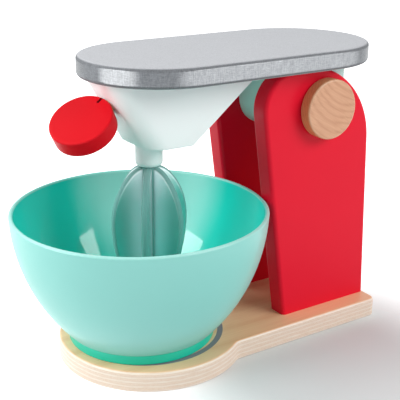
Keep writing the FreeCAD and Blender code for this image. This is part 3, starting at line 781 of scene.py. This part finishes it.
@dataclass(frozen=True)
class SpeckledSilver(Finish):
    """Silver paint with flakes over a faint wood grain, and painted reflection bands on its rim."""

    name: str = "silver_paint"
    paint: Colour = tone(188, 190, 194)
    gloss: float = 0.66
    mottle: float = 0.05
    dimple_scale: float = 1500.0
    sheen: float = 0.2
    # The rim's painted reflection: pale in the bands, darker between them.
    side: Colour = tone(192, 194, 197)
    side_dark_reflection: Colour = tone(124, 127, 131)
    side_gloss: float = 0.5
    side_metal: float = 0.85
    side_facing: Range = (0.3, 0.05)
    top_facing: Range = (0.6, 0.95)
    # Where the painted reflection bands fall on the rim's round ends.
    reflection_band_facing: Triple = (0.515, -0.857, 0.0)
    narrow_facing: Range = (0.955, 0.993)
    broad_facing: Range = (0.93, 0.99)
    broad_reflection_band: float = 0.55
    flake_scale: float = 1900.0
    flake_contrast: float = 0.16
    flake_range: Range = (0.3, 0.8)
    top_metal: Range = (0.1, 0.32)
    row_run: Triple = (0.3, 0.3, 4.0)
    post_run: Triple = (2.5, 2.5, 0.3)
    thread_scale: float = 800.0
    thread_range: Range = (0.7, 1.3)
    thread_shade: Colour = (0.68, 0.68, 0.68, 1.0)
    brushed_depth: float = 5.0
    relief: float = 0.05 * MM
    relief_strength: float = 0.5

    def build(self) -> Material:
        """Makes the material.

        Returns:
            The silver paint material.
        """
        material, graph, shader, place = self.start()
        skin = self.use(graph, paint_skin(), Vector=place, Paint=self.paint, Gloss=self.gloss,
                        Mottle=self.mottle, Dimple_Scale=self.dimple_scale)
        flakes = self.use(graph, metal_flake(), Vector=place, Scale=self.flake_scale,
                          Contrast=self.flake_contrast)
        _, _, height = graph.parts(graph.normal())
        lean = graph.math("ABSOLUTE", height)
        level = graph.span(lean, *self.top_facing)
        upright = graph.span(lean, *self.side_facing)
        rows = graph.noise(graph.stretched(place, self.row_run), self.thread_scale)
        posts = graph.noise(graph.stretched(place, self.post_run), self.thread_scale)
        # Painted reflection: the rim is paler in upright bands and darker between them.
        side = graph.mix(self.painted_reflection_bands(graph), self.side_dark_reflection, self.side)
        shaded = graph.mix(1.0, side, self.thread_shade, "MULTIPLY")
        threads = graph.span(graph.math("ADD", rows, posts), *self.thread_range)
        base = graph.mix(level, graph.mix(threads, shaded, side), skin.outputs["Color"])
        speckle = graph.span(flakes.outputs["Height"], *self.flake_range, *self.top_metal)
        metal = graph.math("MAXIMUM", speckle, graph.times(upright, self.side_metal))
        relief = graph.math("MULTIPLY_ADD", graph.times(upright, rows), self.brushed_depth,
                            flakes.outputs["Height"])
        rough = graph.times(graph.span(upright, 0.0, 1.0, 1.0, self.side_gloss),
                            skin.outputs["Roughness"])
        graph.fill(shader, {
            "Base Color": graph.scaled(base, flakes.outputs["Level"]), "Roughness": rough,
            "Metallic": metal, "Specular IOR Level": self.sheen,
            "Normal": graph.bump(relief, self.relief, self.relief_strength),
        })
        return material

    def painted_reflection_bands(self, graph: Graph) -> Socket:
        """Painted reflection: upright pale bands on the rim, along both sides and off each end's
        middle.

        Args:
            graph: The material's graph.

        Returns:
            A mask of the painted reflection bands.
        """
        normal = graph.normal()
        round_end = graph.dot(normal, self.reflection_band_facing)
        sideways, _, _ = graph.parts(normal)
        narrow = graph.span(graph.math("ABSOLUTE", round_end), *self.narrow_facing)
        broad = graph.span(graph.math("ABSOLUTE", sideways), *self.broad_facing,
                           end=self.broad_reflection_band)
        return graph.math("MAXIMUM", narrow, broad)


@dataclass(frozen=True)
class PaintedVaneShade:
    """Painted light on the whisk: shade by the stem and on the edges, teal bowl reflection outward."""

    # corner and edge are painted shade; outer is a painted reflection of the teal bowl.
    corner: Colour
    edge: Colour
    outer: Colour
    stem_shade_rad: float = 7.0 * MM
    stem_shade_soft: float = 3.5 * MM
    teal_reflection_rad: float = 22.0 * MM
    edge_facing: Range = (0.97, 0.75)
    edge_part: float = 0.85

    def over(self, graph: Graph, place: Socket, colour: Socket) -> tuple[Socket, Socket]:
        """Paints shade and reflection on the vanes.

        Args:
            graph: The material's graph.
            place: The object coordinates, with the whisk's axis through their origin.
            colour: The plastic's colour.

        Returns:
            The colour with painted shade and reflection, and the mask of the rounded edges.
        """
        flat = graph.vector_math("MULTIPLY", place, (1.0, 1.0, 0.0)).outputs[0]
        radius = graph.vector_math("LENGTH", flat).outputs["Value"]
        outward = graph.vector_math("NORMALIZE", flat).outputs[0]
        sideways = graph.vector_math("CROSS_PRODUCT", outward, (0.0, 0.0, 1.0)).outputs[0]
        flatness = graph.math("ABSOLUTE", graph.dot(graph.normal(), sideways))
        edge = graph.span(flatness, *self.edge_facing)
        # Painted shade in the corners by the stem, and a painted teal reflection further out.
        corner = graph.span(radius, self.stem_shade_rad, self.stem_shade_rad - self.stem_shade_soft)
        outer = graph.span(radius, self.stem_shade_rad, self.teal_reflection_rad)
        shaded = graph.mix(outer, graph.mix(corner, colour, self.corner), self.outer)
        return graph.mix(graph.times(edge, self.edge_part), shaded, self.edge), edge


@dataclass(frozen=True)
class PolishedInside:
    """The bowl's polished inside, with painted light: a glow inside, a rim highlight, a shaded foot."""

    axis_y: float
    rim_rad: float
    rim_high: float
    inner: Colour
    # A painted highlight on the lip.
    rim: Colour
    # Painted shade on the foot ring.
    foot: Colour
    foot_low: float
    foot_high: float
    # A painted glow of light on the inner wall that faces the front.
    painted_glow: Colour = tone(196, 242, 236)
    painted_glow_facing: Triple = (0.829, -0.56, 0.0)
    painted_glow_range: Range = (0.68, 0.93)
    painted_glow_part: float = 0.72
    lip_deep: float = 1.5 * MM
    lip_shallow: float = 0.6 * MM
    lip_part: float = 0.6
    wall_facing: Range = (-0.1, -0.4)
    floor_facing: Range = (0.6, 0.8)
    floor_clear: float = 8.0 * MM
    floor_soft: float = 4.0 * MM
    roughness: float = 0.5
    outside_gloss: float = 0.25
    inside_gloss: float = 0.75

    def over(self, graph: Graph, place: Socket, colour: Socket,
             rough: Socket) -> tuple[Socket, Socket, Socket]:
        """Polishes and deepens the inside, and paints a glow, a rim highlight and a shaded foot.

        Args:
            graph: The material's graph.
            place: The object coordinates.
            colour: The outside's colour.
            rough: The outside's roughness.

        Returns:
            The colour, the roughness and the coat of the whole bowl.
        """
        centred = graph.vector_math("SUBTRACT", place, (0.0, self.axis_y, 0.0)).outputs[0]
        _, _, height = graph.parts(centred)
        normal = graph.normal()
        inside = self.inside(graph, centred, normal)
        # Painted shade: the foot ring is darker.
        outside = graph.mix(graph.span(height, self.foot_high, self.foot_low), colour, self.foot)
        # Painted glow: the inner wall facing the front is paler.
        facing = graph.dot(normal, self.painted_glow_facing)
        painted_glow = graph.span(facing, *self.painted_glow_range, end=self.painted_glow_part)
        body = graph.mix(inside, outside, graph.mix(painted_glow, self.inner, self.painted_glow))
        # Painted highlight: the lip is paler where it catches the light.
        lip = graph.span(height, self.rim_high - self.lip_deep, self.rim_high - self.lip_shallow)
        shown = graph.mix(graph.times(lip, self.lip_part), body, self.rim)
        polished = graph.math("SUBTRACT", inside, graph.times(inside, lip))
        coat = graph.span(polished, 0.0, 1.0, self.outside_gloss, self.inside_gloss)
        even = (self.roughness, self.roughness, self.roughness, 1.0)
        return shown, graph.mix(inside, rough, even), coat

    def inside(self, graph: Graph, centred: Socket, normal: Socket) -> Socket:
        """The inner wall and the bowl's floor.

        Args:
            graph: The material's graph.
            centred: The coordinates from the bowl's axis.
            normal: The surface's normal.

        Returns:
            A mask of the inside.
        """
        flat = graph.vector_math("MULTIPLY", centred, (1.0, 1.0, 0.0)).outputs[0]
        radius = graph.vector_math("LENGTH", flat).outputs["Value"]
        outward = graph.dot(graph.vector_math("NORMALIZE", flat).outputs[0], normal)
        _, _, upward = graph.parts(normal)
        wall = graph.span(outward, *self.wall_facing)
        level = graph.span(upward, *self.floor_facing)
        within = graph.span(radius, self.rim_rad - self.floor_soft, self.rim_rad - self.floor_clear)
        return graph.math("MAXIMUM", wall, graph.times(level, within))


@dataclass(frozen=True)
class MouldedPlastic(Finish):
    """Moulded plastic, glossier on its polished side."""

    name: str
    colour: Colour
    gloss: float
    metallic: float = 0.0
    sheen: float = 0.5
    mottle: float = 0.03
    dimple_scale: float = 700.0
    smear: float = 0.08
    edge_roughness: float = 0.2
    coat_roughness: float = 0.05
    coat_ior: float = 1.6
    relief: float = 0.02 * MM
    relief_strength: float = 0.25
    vanes: PaintedVaneShade | None = None
    shine: PolishedInside | None = None

    def build(self) -> Material:
        """Makes the material.

        Returns:
            The plastic material.
        """
        material, graph, shader, place = self.start()
        skin = self.use(graph, paint_skin(), Vector=place, Paint=self.colour, Gloss=self.gloss,
                        Mottle=self.mottle, Dimple_Scale=self.dimple_scale)
        smear = self.use(graph, handling(), Vector=place, Roughness=skin.outputs["Roughness"],
                         Amount=self.smear)
        colour, rough = skin.outputs["Color"], smear.outputs["Roughness"]
        metallic, coat = self.metallic, 0.0
        if self.vanes is not None:
            # Painted shade and reflection on the whisk's vanes.
            colour, edge = self.vanes.over(graph, place, colour)
            rough = graph.math("MULTIPLY_ADD", edge, self.edge_roughness, rough)
            metallic = graph.math("MULTIPLY_ADD", edge, -self.metallic, self.metallic)
        # The bowl: a painted glow inside, a painted rim highlight and painted shade on the foot.
        if self.shine is not None:
            colour, rough, coat = self.shine.over(graph, place, colour, rough)
        graph.fill(shader, {
            "Base Color": colour, "Roughness": rough, "Metallic": metallic,
            "Specular IOR Level": self.sheen, "Coat Weight": coat,
            "Coat Roughness": self.coat_roughness, "Coat IOR": self.coat_ior,
            "Normal": graph.bump(skin.outputs["Height"], self.relief, self.relief_strength),
        })
        return material


@dataclass(frozen=True)
class PlatedSteel(Finish):
    """Zinc-plated steel."""

    name: str = "screw_steel"
    colour: Colour = tone(198, 200, 202)
    flake_scale: float = 2600.0
    flake_contrast: float = 0.1
    roughness: float = 0.28
    smear: float = 0.2
    relief: float = 0.01 * MM
    relief_strength: float = 0.4

    def build(self) -> Material:
        """Makes the material.

        Returns:
            The steel material.
        """
        material, graph, shader, place = self.start()
        flakes = self.use(graph, metal_flake(), Vector=place, Scale=self.flake_scale,
                          Contrast=self.flake_contrast)
        smear = self.use(graph, handling(), Vector=place, Roughness=self.roughness,
                         Amount=self.smear)
        graph.fill(shader, {
            "Base Color": graph.scaled(self.colour[:3], flakes.outputs["Level"]),
            "Metallic": 1.0, "Roughness": smear.outputs["Roughness"],
            "Normal": graph.bump(flakes.outputs["Height"], self.relief, self.relief_strength),
        })
        return material


class DowelRun(Enum):
    """Which way a dowel's grain runs, as the turn that brings its length to X."""

    CROSSWAYS = ORIGIN
    UPRIGHT = (0.0, math.radians(90), 0.0)


def dowel_finish(name: str, turn: Triple) -> Material:
    """Makes the finish of a bare turned dowel.

    Args:
        name: The material's name.
        turn: The turn that brings the dowel's length to X.

    Returns:
        The wood material.
    """
    return SolidWood(name, tone(232, 196, 150), tone(196, 150, 100), turn, ring_scale=260.0,
                     figure=0.25, roughness=0.55, lacquer=0.0).build()


def dress(node: str, material: Material) -> None:
    """Gives a CAD node its finish and reports it.

    Args:
        node: The node's name.
        material: The finish.
    """
    mesh = frame["nodes"][node].data
    mesh.materials.clear()
    mesh.materials.append(material)
    log.info("%s: %s", node, material.name)


@dataclass
class WoodScrews:
    """The four cross-headed wood screws under the base, which hold the column's panels."""

    steel: Material
    head_rad: float = 3.8 * MM
    rim_soft: float = 0.15 * MM
    shank_rad: float = 1.9 * MM
    head_thick: float = 2.6 * MM
    point_long: float = 6.0 * MM
    point_share: float = 0.04
    recess_span: float = 4.4 * MM
    recess_wide: float = 1.0 * MM
    recess_deep: float = 1.6 * MM
    recess_taper: float = 0.45
    turn_step: float = 37.0
    smooth_below: float = 35.0
    upward: float = 0.9
    sides: int = 40

    def build(self) -> None:
        """Models one screw and puts a copy of it at each corner of the CAD screws' box."""
        low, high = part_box("base_screws")
        pattern = self.shape(high.z - low.z)
        number = 0
        for x in (low.x + self.head_rad, high.x - self.head_rad):
            for y in (low.y + self.head_rad, high.y - self.head_rad):
                number += 1
                self.copy_to(pattern, Vector((x, y, low.z)), number)
        bpy.data.objects.remove(pattern)

    def shape(self, tall: float) -> bpy.types.Object:
        """Models a screw that stands on its head at the origin.

        Args:
            tall: The screw's whole length.

        Returns:
            The screw, with its cross recess cut.
        """
        bpy.ops.object.select_all(action="DESELECT")
        outer = self.head_rad - self.rim_soft
        bpy.ops.mesh.primitive_circle_add(vertices=self.sides, radius=outer, fill_type="NGON")
        screw = bpy.context.object
        bpy.ops.object.mode_set(mode="EDIT")
        steps = (
            (self.rim_soft, self.head_rad / outer),
            (self.head_thick - self.rim_soft, self.shank_rad / self.head_rad),
            (tall - self.head_thick - self.point_long, 1.0),
            (self.point_long, self.point_share),
        )
        for rise, share in steps:
            bpy.ops.mesh.extrude_region_move(TRANSFORM_OT_translate={"value": (0.0, 0.0, rise)})
            bpy.ops.transform.resize(value=(share, share, 1.0), center_override=ORIGIN)
        bpy.ops.mesh.select_all(action="SELECT")
        bpy.ops.mesh.normals_make_consistent(inside=False)
        bpy.ops.object.mode_set(mode="OBJECT")
        for turn in (0.0, 90.0):
            self.cut_slot(screw, turn)
        bpy.ops.object.shade_smooth_by_angle(angle=math.radians(self.smooth_below))
        return screw

    def cut_slot(self, screw: bpy.types.Object, turn: float) -> None:
        """Cuts one tapered slot of the cross recess into the head.

        Args:
            screw: The screw, which is left selected.
            turn: The slot's direction in degrees.
        """
        bar = self.slot_bar(turn)
        bpy.ops.object.select_all(action="DESELECT")
        screw.select_set(True)
        bpy.context.view_layer.objects.active = screw
        cut = screw.modifiers.new("recess", "BOOLEAN")
        cut.object = bar
        cut.operation = "DIFFERENCE"
        cut.solver = "EXACT"
        bpy.ops.object.modifier_apply(modifier=cut.name)
        bpy.data.objects.remove(bar)

    def slot_bar(self, turn: float) -> bpy.types.Object:
        """Models the bar that cuts a slot, narrower at its deep end.

        Args:
            turn: The slot's direction in degrees.

        Returns:
            The bar.
        """
        bpy.ops.object.select_all(action="DESELECT")
        bpy.ops.mesh.primitive_cube_add(size=1.0)
        bar = bpy.context.object
        bpy.ops.object.mode_set(mode="EDIT")
        size = (self.recess_span, self.recess_wide, self.recess_deep * 2)
        bpy.ops.transform.resize(value=size, center_override=ORIGIN)
        shaped = bmesh.from_edit_mesh(bar.data)
        bpy.ops.mesh.select_all(action="DESELECT")
        for face in shaped.faces:
            face.select_set(face.normal.z > self.upward)
        bmesh.update_edit_mesh(bar.data)
        bpy.ops.transform.resize(value=(self.recess_taper, 1.0, 1.0), center_override=ORIGIN)
        bpy.ops.mesh.select_all(action="SELECT")
        bpy.ops.transform.rotate(value=math.radians(turn), orient_axis="Z", center_override=ORIGIN)
        bpy.ops.object.mode_set(mode="OBJECT")
        return bar

    def copy_to(self, pattern: bpy.types.Object, foot: Vector, number: int) -> None:
        """Puts a copy of the screw in its place, turned as it happened to stop.

        Args:
            pattern: The screw to copy.
            foot: Where the middle of its head goes.
            number: The screw's number, from 1.
        """
        screw = pattern.copy()
        screw.data = pattern.data.copy()
        screw.name = f"base_wood_screw_{number}"
        turned = Matrix.Rotation(math.radians(self.turn_step * number), 4, "Z")
        screw.data.transform(Matrix.Translation(foot) @ turned)
        screw.data.materials.clear()
        screw.data.materials.append(self.steel)
        bpy.context.scene.collection.objects.link(screw)
        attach(screw, "stand")
        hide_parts("base_screws")
        log.info("%s: %s", screw.name, self.steel.name)


@dataclass
class Stand:
    """The base board with its ring, the two column panels and what fastens them."""

    red: Colour = tone(234, 20, 48)
    # Paler red along the edges: thinner paint and a painted highlight.
    red_thin_edge_highlight: Colour = tone(242, 62, 80)
    red_sheen: float = 0.15
    ring_grey: Colour = tone(128, 124, 134)
    ring_gloss: float = 0.6

    def build(self) -> None:
        """Dresses the stand's pieces."""
        dress("base_board", BirchPlywood().build())
        dress("bowl_ring", MouldedPlastic("grey_ring", self.ring_grey, self.ring_gloss).build())
        paint = SatinPaint("red_paint", self.red, self.red_thin_edge_highlight, sheen=self.red_sheen).build()
        for name in ("left_panel", "right_panel"):
            dress(name, paint)
        dress("base_dowels", dowel_finish("base_dowel_wood", DowelRun.UPRIGHT.value))
        WoodScrews(PlatedSteel().build()).build()


@dataclass
class Head:
    """The plate, the housing, the hinge block, the axle with its knobs and the collar."""

    white: Colour = tone(249, 253, 253)
    # Paler white along the edges: thinner paint and a painted highlight.
    white_thin_edge_highlight: Colour = tone(253, 254, 254)
    white_gloss: float = 0.3
    white_mottle: float = 0.02
    # The hinge block's white carries painted teal light bounced from the bowl.
    block_teal_bounce: Colour = tone(202, 248, 241)
    knob_pale: Colour = tone(222, 170, 134)
    knob_deep: Colour = tone(176, 112, 74)
    # A painted highlight along the knob's rounded front edge.
    knob_rim_highlight: Colour = tone(250, 218, 182)
    knob_side: Colour = tone(255, 250, 222)
    knob_grain: float = 30.0
    axle_place: tuple[float, float] = (108.9 * MM, 152.0 * MM)

    def build(self) -> None:
        """Dresses the head's pieces."""
        dress("top_plate", SpeckledSilver().build())
        white = self.white_finish("white_paint", self.white)
        for name in ("head_housing", "neck_collar"):
            dress(name, white)
        # White paint tinted with painted teal light bounced from the bowl.
        dress("hinge_block", self.white_finish("block_paint_teal_bounce", self.block_teal_bounce))
        upright = dowel_finish("upright_dowel_wood", DowelRun.UPRIGHT.value)
        for name in ("housing_dowels", "block_dowels"):
            dress(name, upright)
        dress("pivot_axle", dowel_finish("axle_wood", DowelRun.CROSSWAYS.value))
        self.dress_knobs()
        dress("dial_pin", PlatedSteel("pin_steel").build())

    def white_finish(self, name: str, paint: Colour) -> Material:
        """Makes one of the head's white paints.

        Args:
            name: The material's name.
            paint: Its colour.

        Returns:
            The painted material.
        """
        return SatinPaint(name, paint, self.white_thin_edge_highlight, gloss=self.white_gloss,
                          mottle=self.white_mottle).build()

    def dress_knobs(self) -> None:
        """Gives the two knobs a face grain that slants across them and a painted rim highlight."""
        turn = (math.radians(self.knob_grain), 0.0, math.radians(90))
        knob = SolidWood("knob_wood", self.knob_pale, self.knob_deep, turn,
                         (0.0,) + self.axle_place, ring_scale=480.0, fibre_scale=1100.0,
                         figure=0.26, bend=-6.0, roughness=0.42, edge_colour=self.knob_rim_highlight,
                         side_tint=self.knob_side).build()
        for name in ("left_knob", "right_knob"):
            dress(name, knob)


@dataclass
class DialUnit:
    """The red dial and the dowel that it turns on."""

    red: Colour = tone(214, 15, 29)
    # Paler red along the edges: thinner paint and a painted highlight.
    red_thin_edge_highlight: Colour = tone(236, 84, 92)
    gloss: float = 0.36
    sheen: float = 0.06
    thick: float = 10.8 * MM
    turn: float = 17.8

    def build(self) -> None:
        """Dresses the dial and its dowel."""
        joints = frame["record"]["behaviour"]["joints"]
        joint = next(made for made in joints if made["name"] == "dial_turn")
        inward = -Vector(joint["axis"]).normalized()
        level = Vector((0.0, -inward.z, inward.y))
        turn = math.radians(self.turn)
        face = level * math.cos(turn) + Vector((1.0, 0.0, 0.0)) * math.sin(turn)
        mark = PointerMark(tuple(joint["pos_m"]), tuple(face), self.thick / 2)
        paint = SatinPaint("dial_paint", self.red, self.red_thin_edge_highlight, gloss=self.gloss,
                           sheen=self.sheen, mark=mark)
        dress("dial", paint.build())
        lean = math.atan2(inward.z, inward.y)
        dress("dial_spindle", dowel_finish("dial_dowel_wood", (-lean, 0.0, math.radians(-90))))


@dataclass
class WhiskUnit:
    """The whisk and what hangs it in the collar."""

    silver: Colour = tone(230, 238, 240)
    # Painted light: shade in the stem corners and on the edges, teal bowl reflection further out.
    corner: Colour = tone(96, 138, 136)
    edge: Colour = tone(100, 158, 152)
    outer: Colour = tone(158, 202, 198)
    gloss: float = 0.32
    metallic: float = 0.85
    sheen: float = 0.15

    def build(self) -> None:
        """Dresses the whisk and its washer and screw."""
        vanes = PaintedVaneShade(self.corner, self.edge, self.outer)
        dress("whisk", MouldedPlastic("silver_plastic", self.silver, self.gloss, self.metallic,
                                      self.sheen, vanes=vanes).build())
        steel = PlatedSteel("whisk_steel").build()
        for name in ("whisk_washer", "whisk_screw"):
            dress(name, steel)


@dataclass
class BowlUnit:
    """The lift-off bowl."""

    teal: Colour = tone(144, 217, 208)
    inner: Colour = tone(4, 224, 207)
    # Painted shade on the bowl's foot ring.
    foot: Colour = tone(16, 206, 176)
    # A painted highlight on the bowl's lip.
    rim: Colour = tone(176, 230, 222)
    gloss: float = 0.42
    sheen: float = 0.3
    axis_y: float = -6.7 * MM
    rim_rad: float = 79.8 * MM
    foot_low: float = 18.6 * MM
    foot_high: float = 20.2 * MM

    def build(self) -> None:
        """Dresses the bowl."""
        rim_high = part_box("bowl")[1].z
        inside = PolishedInside(self.axis_y, self.rim_rad, rim_high, self.inner, self.rim,
                                self.foot, self.foot_low, self.foot_high)
        dress("bowl", MouldedPlastic("teal_plastic", self.teal, self.gloss, sheen=self.sheen,
                                     shine=inside).build())


@dataclass(frozen=True)
class Lamp:
    """A soft area light, placed by its bearing from the toy."""

    name: str
    azimuth: float
    elevation: float
    distance: float
    wide: float
    high: float
    power: float

    def build(self, target: Vector) -> None:
        """Makes the light, aimed at the toy.

        Args:
            target: The point that it is aimed at.
        """
        back = bearing(self.azimuth, self.elevation)
        data = bpy.data.lights.new(self.name, "AREA")
        data.shape = "RECTANGLE"
        data.size = self.wide
        data.size_y = self.high
        data.energy = self.power
        lamp = bpy.data.objects.new(self.name, data)
        bpy.context.scene.collection.objects.link(lamp)
        lamp.location = target + back * self.distance
        lamp.rotation_euler = back.to_track_quat("Z", "Y").to_euler()


def soft_lights() -> list[Lamp]:
    """Lists the studio's lights.

    Returns:
        A key from the upper left and a soft box on each side of the camera.
    """
    return [
        Lamp("key_light", azimuth=-40.0, elevation=40.0, distance=1.2, wide=0.7, high=0.7, power=7.0),
        Lamp("left_box", azimuth=-3.0, elevation=31.0, distance=1.3, wide=0.56, high=0.62, power=8.4),
        Lamp("right_box", azimuth=121.5, elevation=30.0, distance=1.3, wide=0.86, high=0.62, power=9.6),
    ]


@dataclass
class Studio:
    """The pale floor, the soft lights and the camera at the photograph's angle."""

    target: Triple = (0.0, 0.0455, 0.110)
    azimuth: float = 55.97
    elevation: float = 17.59
    distance: float = 0.5818
    roll: float = 0.59
    lens: float = 81.44
    sensor: float = 36.0
    shift: tuple[float, float] = (-0.0265, -0.0692)
    nearest: float = 0.01
    floor_half: float = 3.0
    floor_drop: float = 0.05 * MM
    floor_colour: Colour = tone(221, 224, 225)
    floor_roughness: float = 0.9
    lobe_inside: float = 57.0 * MM
    tail_inside: tuple[float, float] = (45.0 * MM, 77.5 * MM)
    tail_middle: float = 75.0 * MM
    pool_centre: Triple = (0.078, 0.08, 0.0)
    pool_near: float = 0.05
    pool_far: float = 0.165
    world_level: float = 0.31
    lamps: list[Lamp] = field(default_factory=soft_lights)

    def build(self) -> None:
        """Makes the surround, the floor, the camera and the lights."""
        self.make_world()
        self.make_floor()
        self.make_camera()
        for lamp in self.lamps:
            lamp.build(Vector(self.target))
        bpy.context.scene.view_settings.view_transform = "Standard"

    def camera_axes(self) -> tuple[Vector, Vector, Vector]:
        """Works out how the camera stands.

        Returns:
            Its right, up and backward directions.
        """
        turn = math.radians(self.azimuth)
        roll = math.radians(self.roll)
        right = Vector((math.cos(turn), math.sin(turn), 0.0))
        back = bearing(self.azimuth, self.elevation)
        up = back.cross(right)
        return (right * math.cos(roll) + up * math.sin(roll),
                up * math.cos(roll) - right * math.sin(roll), back)

    def make_camera(self) -> None:
        """Places the camera where the photograph was taken from."""
        right, up, back = self.camera_axes()
        data = bpy.data.cameras.new("photo_camera")
        data.lens = self.lens
        data.sensor_width = self.sensor
        data.shift_x, data.shift_y = self.shift
        data.clip_start = self.nearest
        camera = bpy.data.objects.new("photo_camera", data)
        bpy.context.scene.collection.objects.link(camera)
        turned = Matrix((right, up, back)).transposed().to_4x4()
        place = Matrix.Translation(Vector(self.target) + back * self.distance)
        camera.matrix_world = place @ turned
        bpy.context.scene.camera = camera

    @staticmethod
    def seen(graph: Graph) -> Socket:
        """Tells the rays that show the background: direct, mirrored or through glass.

        Args:
            graph: The floor's or the surround's graph.

        Returns:
            One for such a ray, and nothing for the others.
        """
        path = graph.node("LightPath")
        mirrored = graph.math("MAXIMUM", path.outputs["Is Glossy Ray"],
                              path.outputs["Is Transmission Ray"])
        return graph.math("MAXIMUM", path.outputs["Is Camera Ray"], mirrored)

    def make_world(self) -> None:
        """Makes a plain grey surround that looks white where it is seen directly or mirrored."""
        world = bpy.data.worlds.new("studio")
        world.use_nodes = True
        graph = Graph(world.node_tree)
        strength = graph.math("MULTIPLY_ADD", self.seen(graph), 1.0 - self.world_level,
                              self.world_level)
        graph.fill(world.node_tree.nodes["Background"], {"Color": WHITE, "Strength": strength})
        bpy.context.scene.world = world

    def under_base(self, graph: Graph, place: Socket) -> Socket:
        """Finds where the base board covers the floor, so that light reaches its underside.

        Args:
            graph: The floor's graph.
            place: The floor's coordinates.

        Returns:
            The mask, a little inside the board's outline.
        """
        across, along, _ = graph.parts(place)
        centred = graph.math("SUBTRACT", along, self.tail_middle)
        radius = graph.vector_math("LENGTH", place).outputs["Value"]
        lobe = graph.math("LESS_THAN", radius, self.lobe_inside)
        narrow = graph.math("LESS_THAN", graph.math("ABSOLUTE", across), self.tail_inside[0])
        short = graph.math("LESS_THAN", graph.math("ABSOLUTE", centred), self.tail_inside[1])
        return graph.math("MAXIMUM", lobe, graph.times(narrow, short))

    def make_floor(self) -> None:
        """Makes a large pale floor that keeps the toy's shadow and is clear from below."""
        bpy.ops.object.select_all(action="DESELECT")
        bpy.ops.mesh.primitive_plane_add(size=self.floor_half * 2,
                                         location=(0.0, 0.0, -self.floor_drop))
        floor = bpy.context.object
        floor.name = "studio_floor"
        floor.data.materials.append(self.floor_finish())

    def floor_finish(self) -> Material:
        """Makes the floor's material: white round the shadow, and clear under the base.

        Returns:
            The floor's material.
        """
        material = bpy.data.materials.new("studio_floor")
        material.use_nodes = True
        graph = Graph(material.node_tree)
        nodes = material.node_tree.nodes
        shader = nodes["Principled BSDF"]
        place = graph.node("TexCoord").outputs["Object"]
        away = graph.vector_math("DISTANCE", place, self.pool_centre).outputs["Value"]
        lift = graph.span(away, self.pool_near, self.pool_far)
        graph.fill(shader, {
            "Base Color": self.floor_colour, "Roughness": self.floor_roughness,
            "Specular IOR Level": 0.0, "Emission Color": WHITE,
            "Emission Strength": graph.times(self.seen(graph), lift),
        })
        clear = graph.node("BsdfTransparent")
        blend = graph.node("MixShader")
        behind = graph.node("NewGeometry").outputs["Backfacing"]
        graph.feed(blend.inputs[0], graph.math("MAXIMUM", behind, self.under_base(graph, place)))
        graph.feed(blend.inputs[1], shader.outputs[0])
        graph.feed(blend.inputs[2], clear.outputs[0])
        graph.feed(nodes["Material Output"].inputs["Surface"], blend.outputs[0])
        return material


def main() -> None:
    """Builds the sub-assemblies in order, then the studio."""
    logging.basicConfig(level=logging.INFO, format="%(name)s: %(message)s")
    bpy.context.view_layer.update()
    for assembly in (Stand(), Head(), DialUnit(), WhiskUnit(), BowlUnit()):
        assembly.build()
        log.info("%s is dressed", type(assembly).__name__)
    Studio().build()


if __name__ == "__main__":
    main()
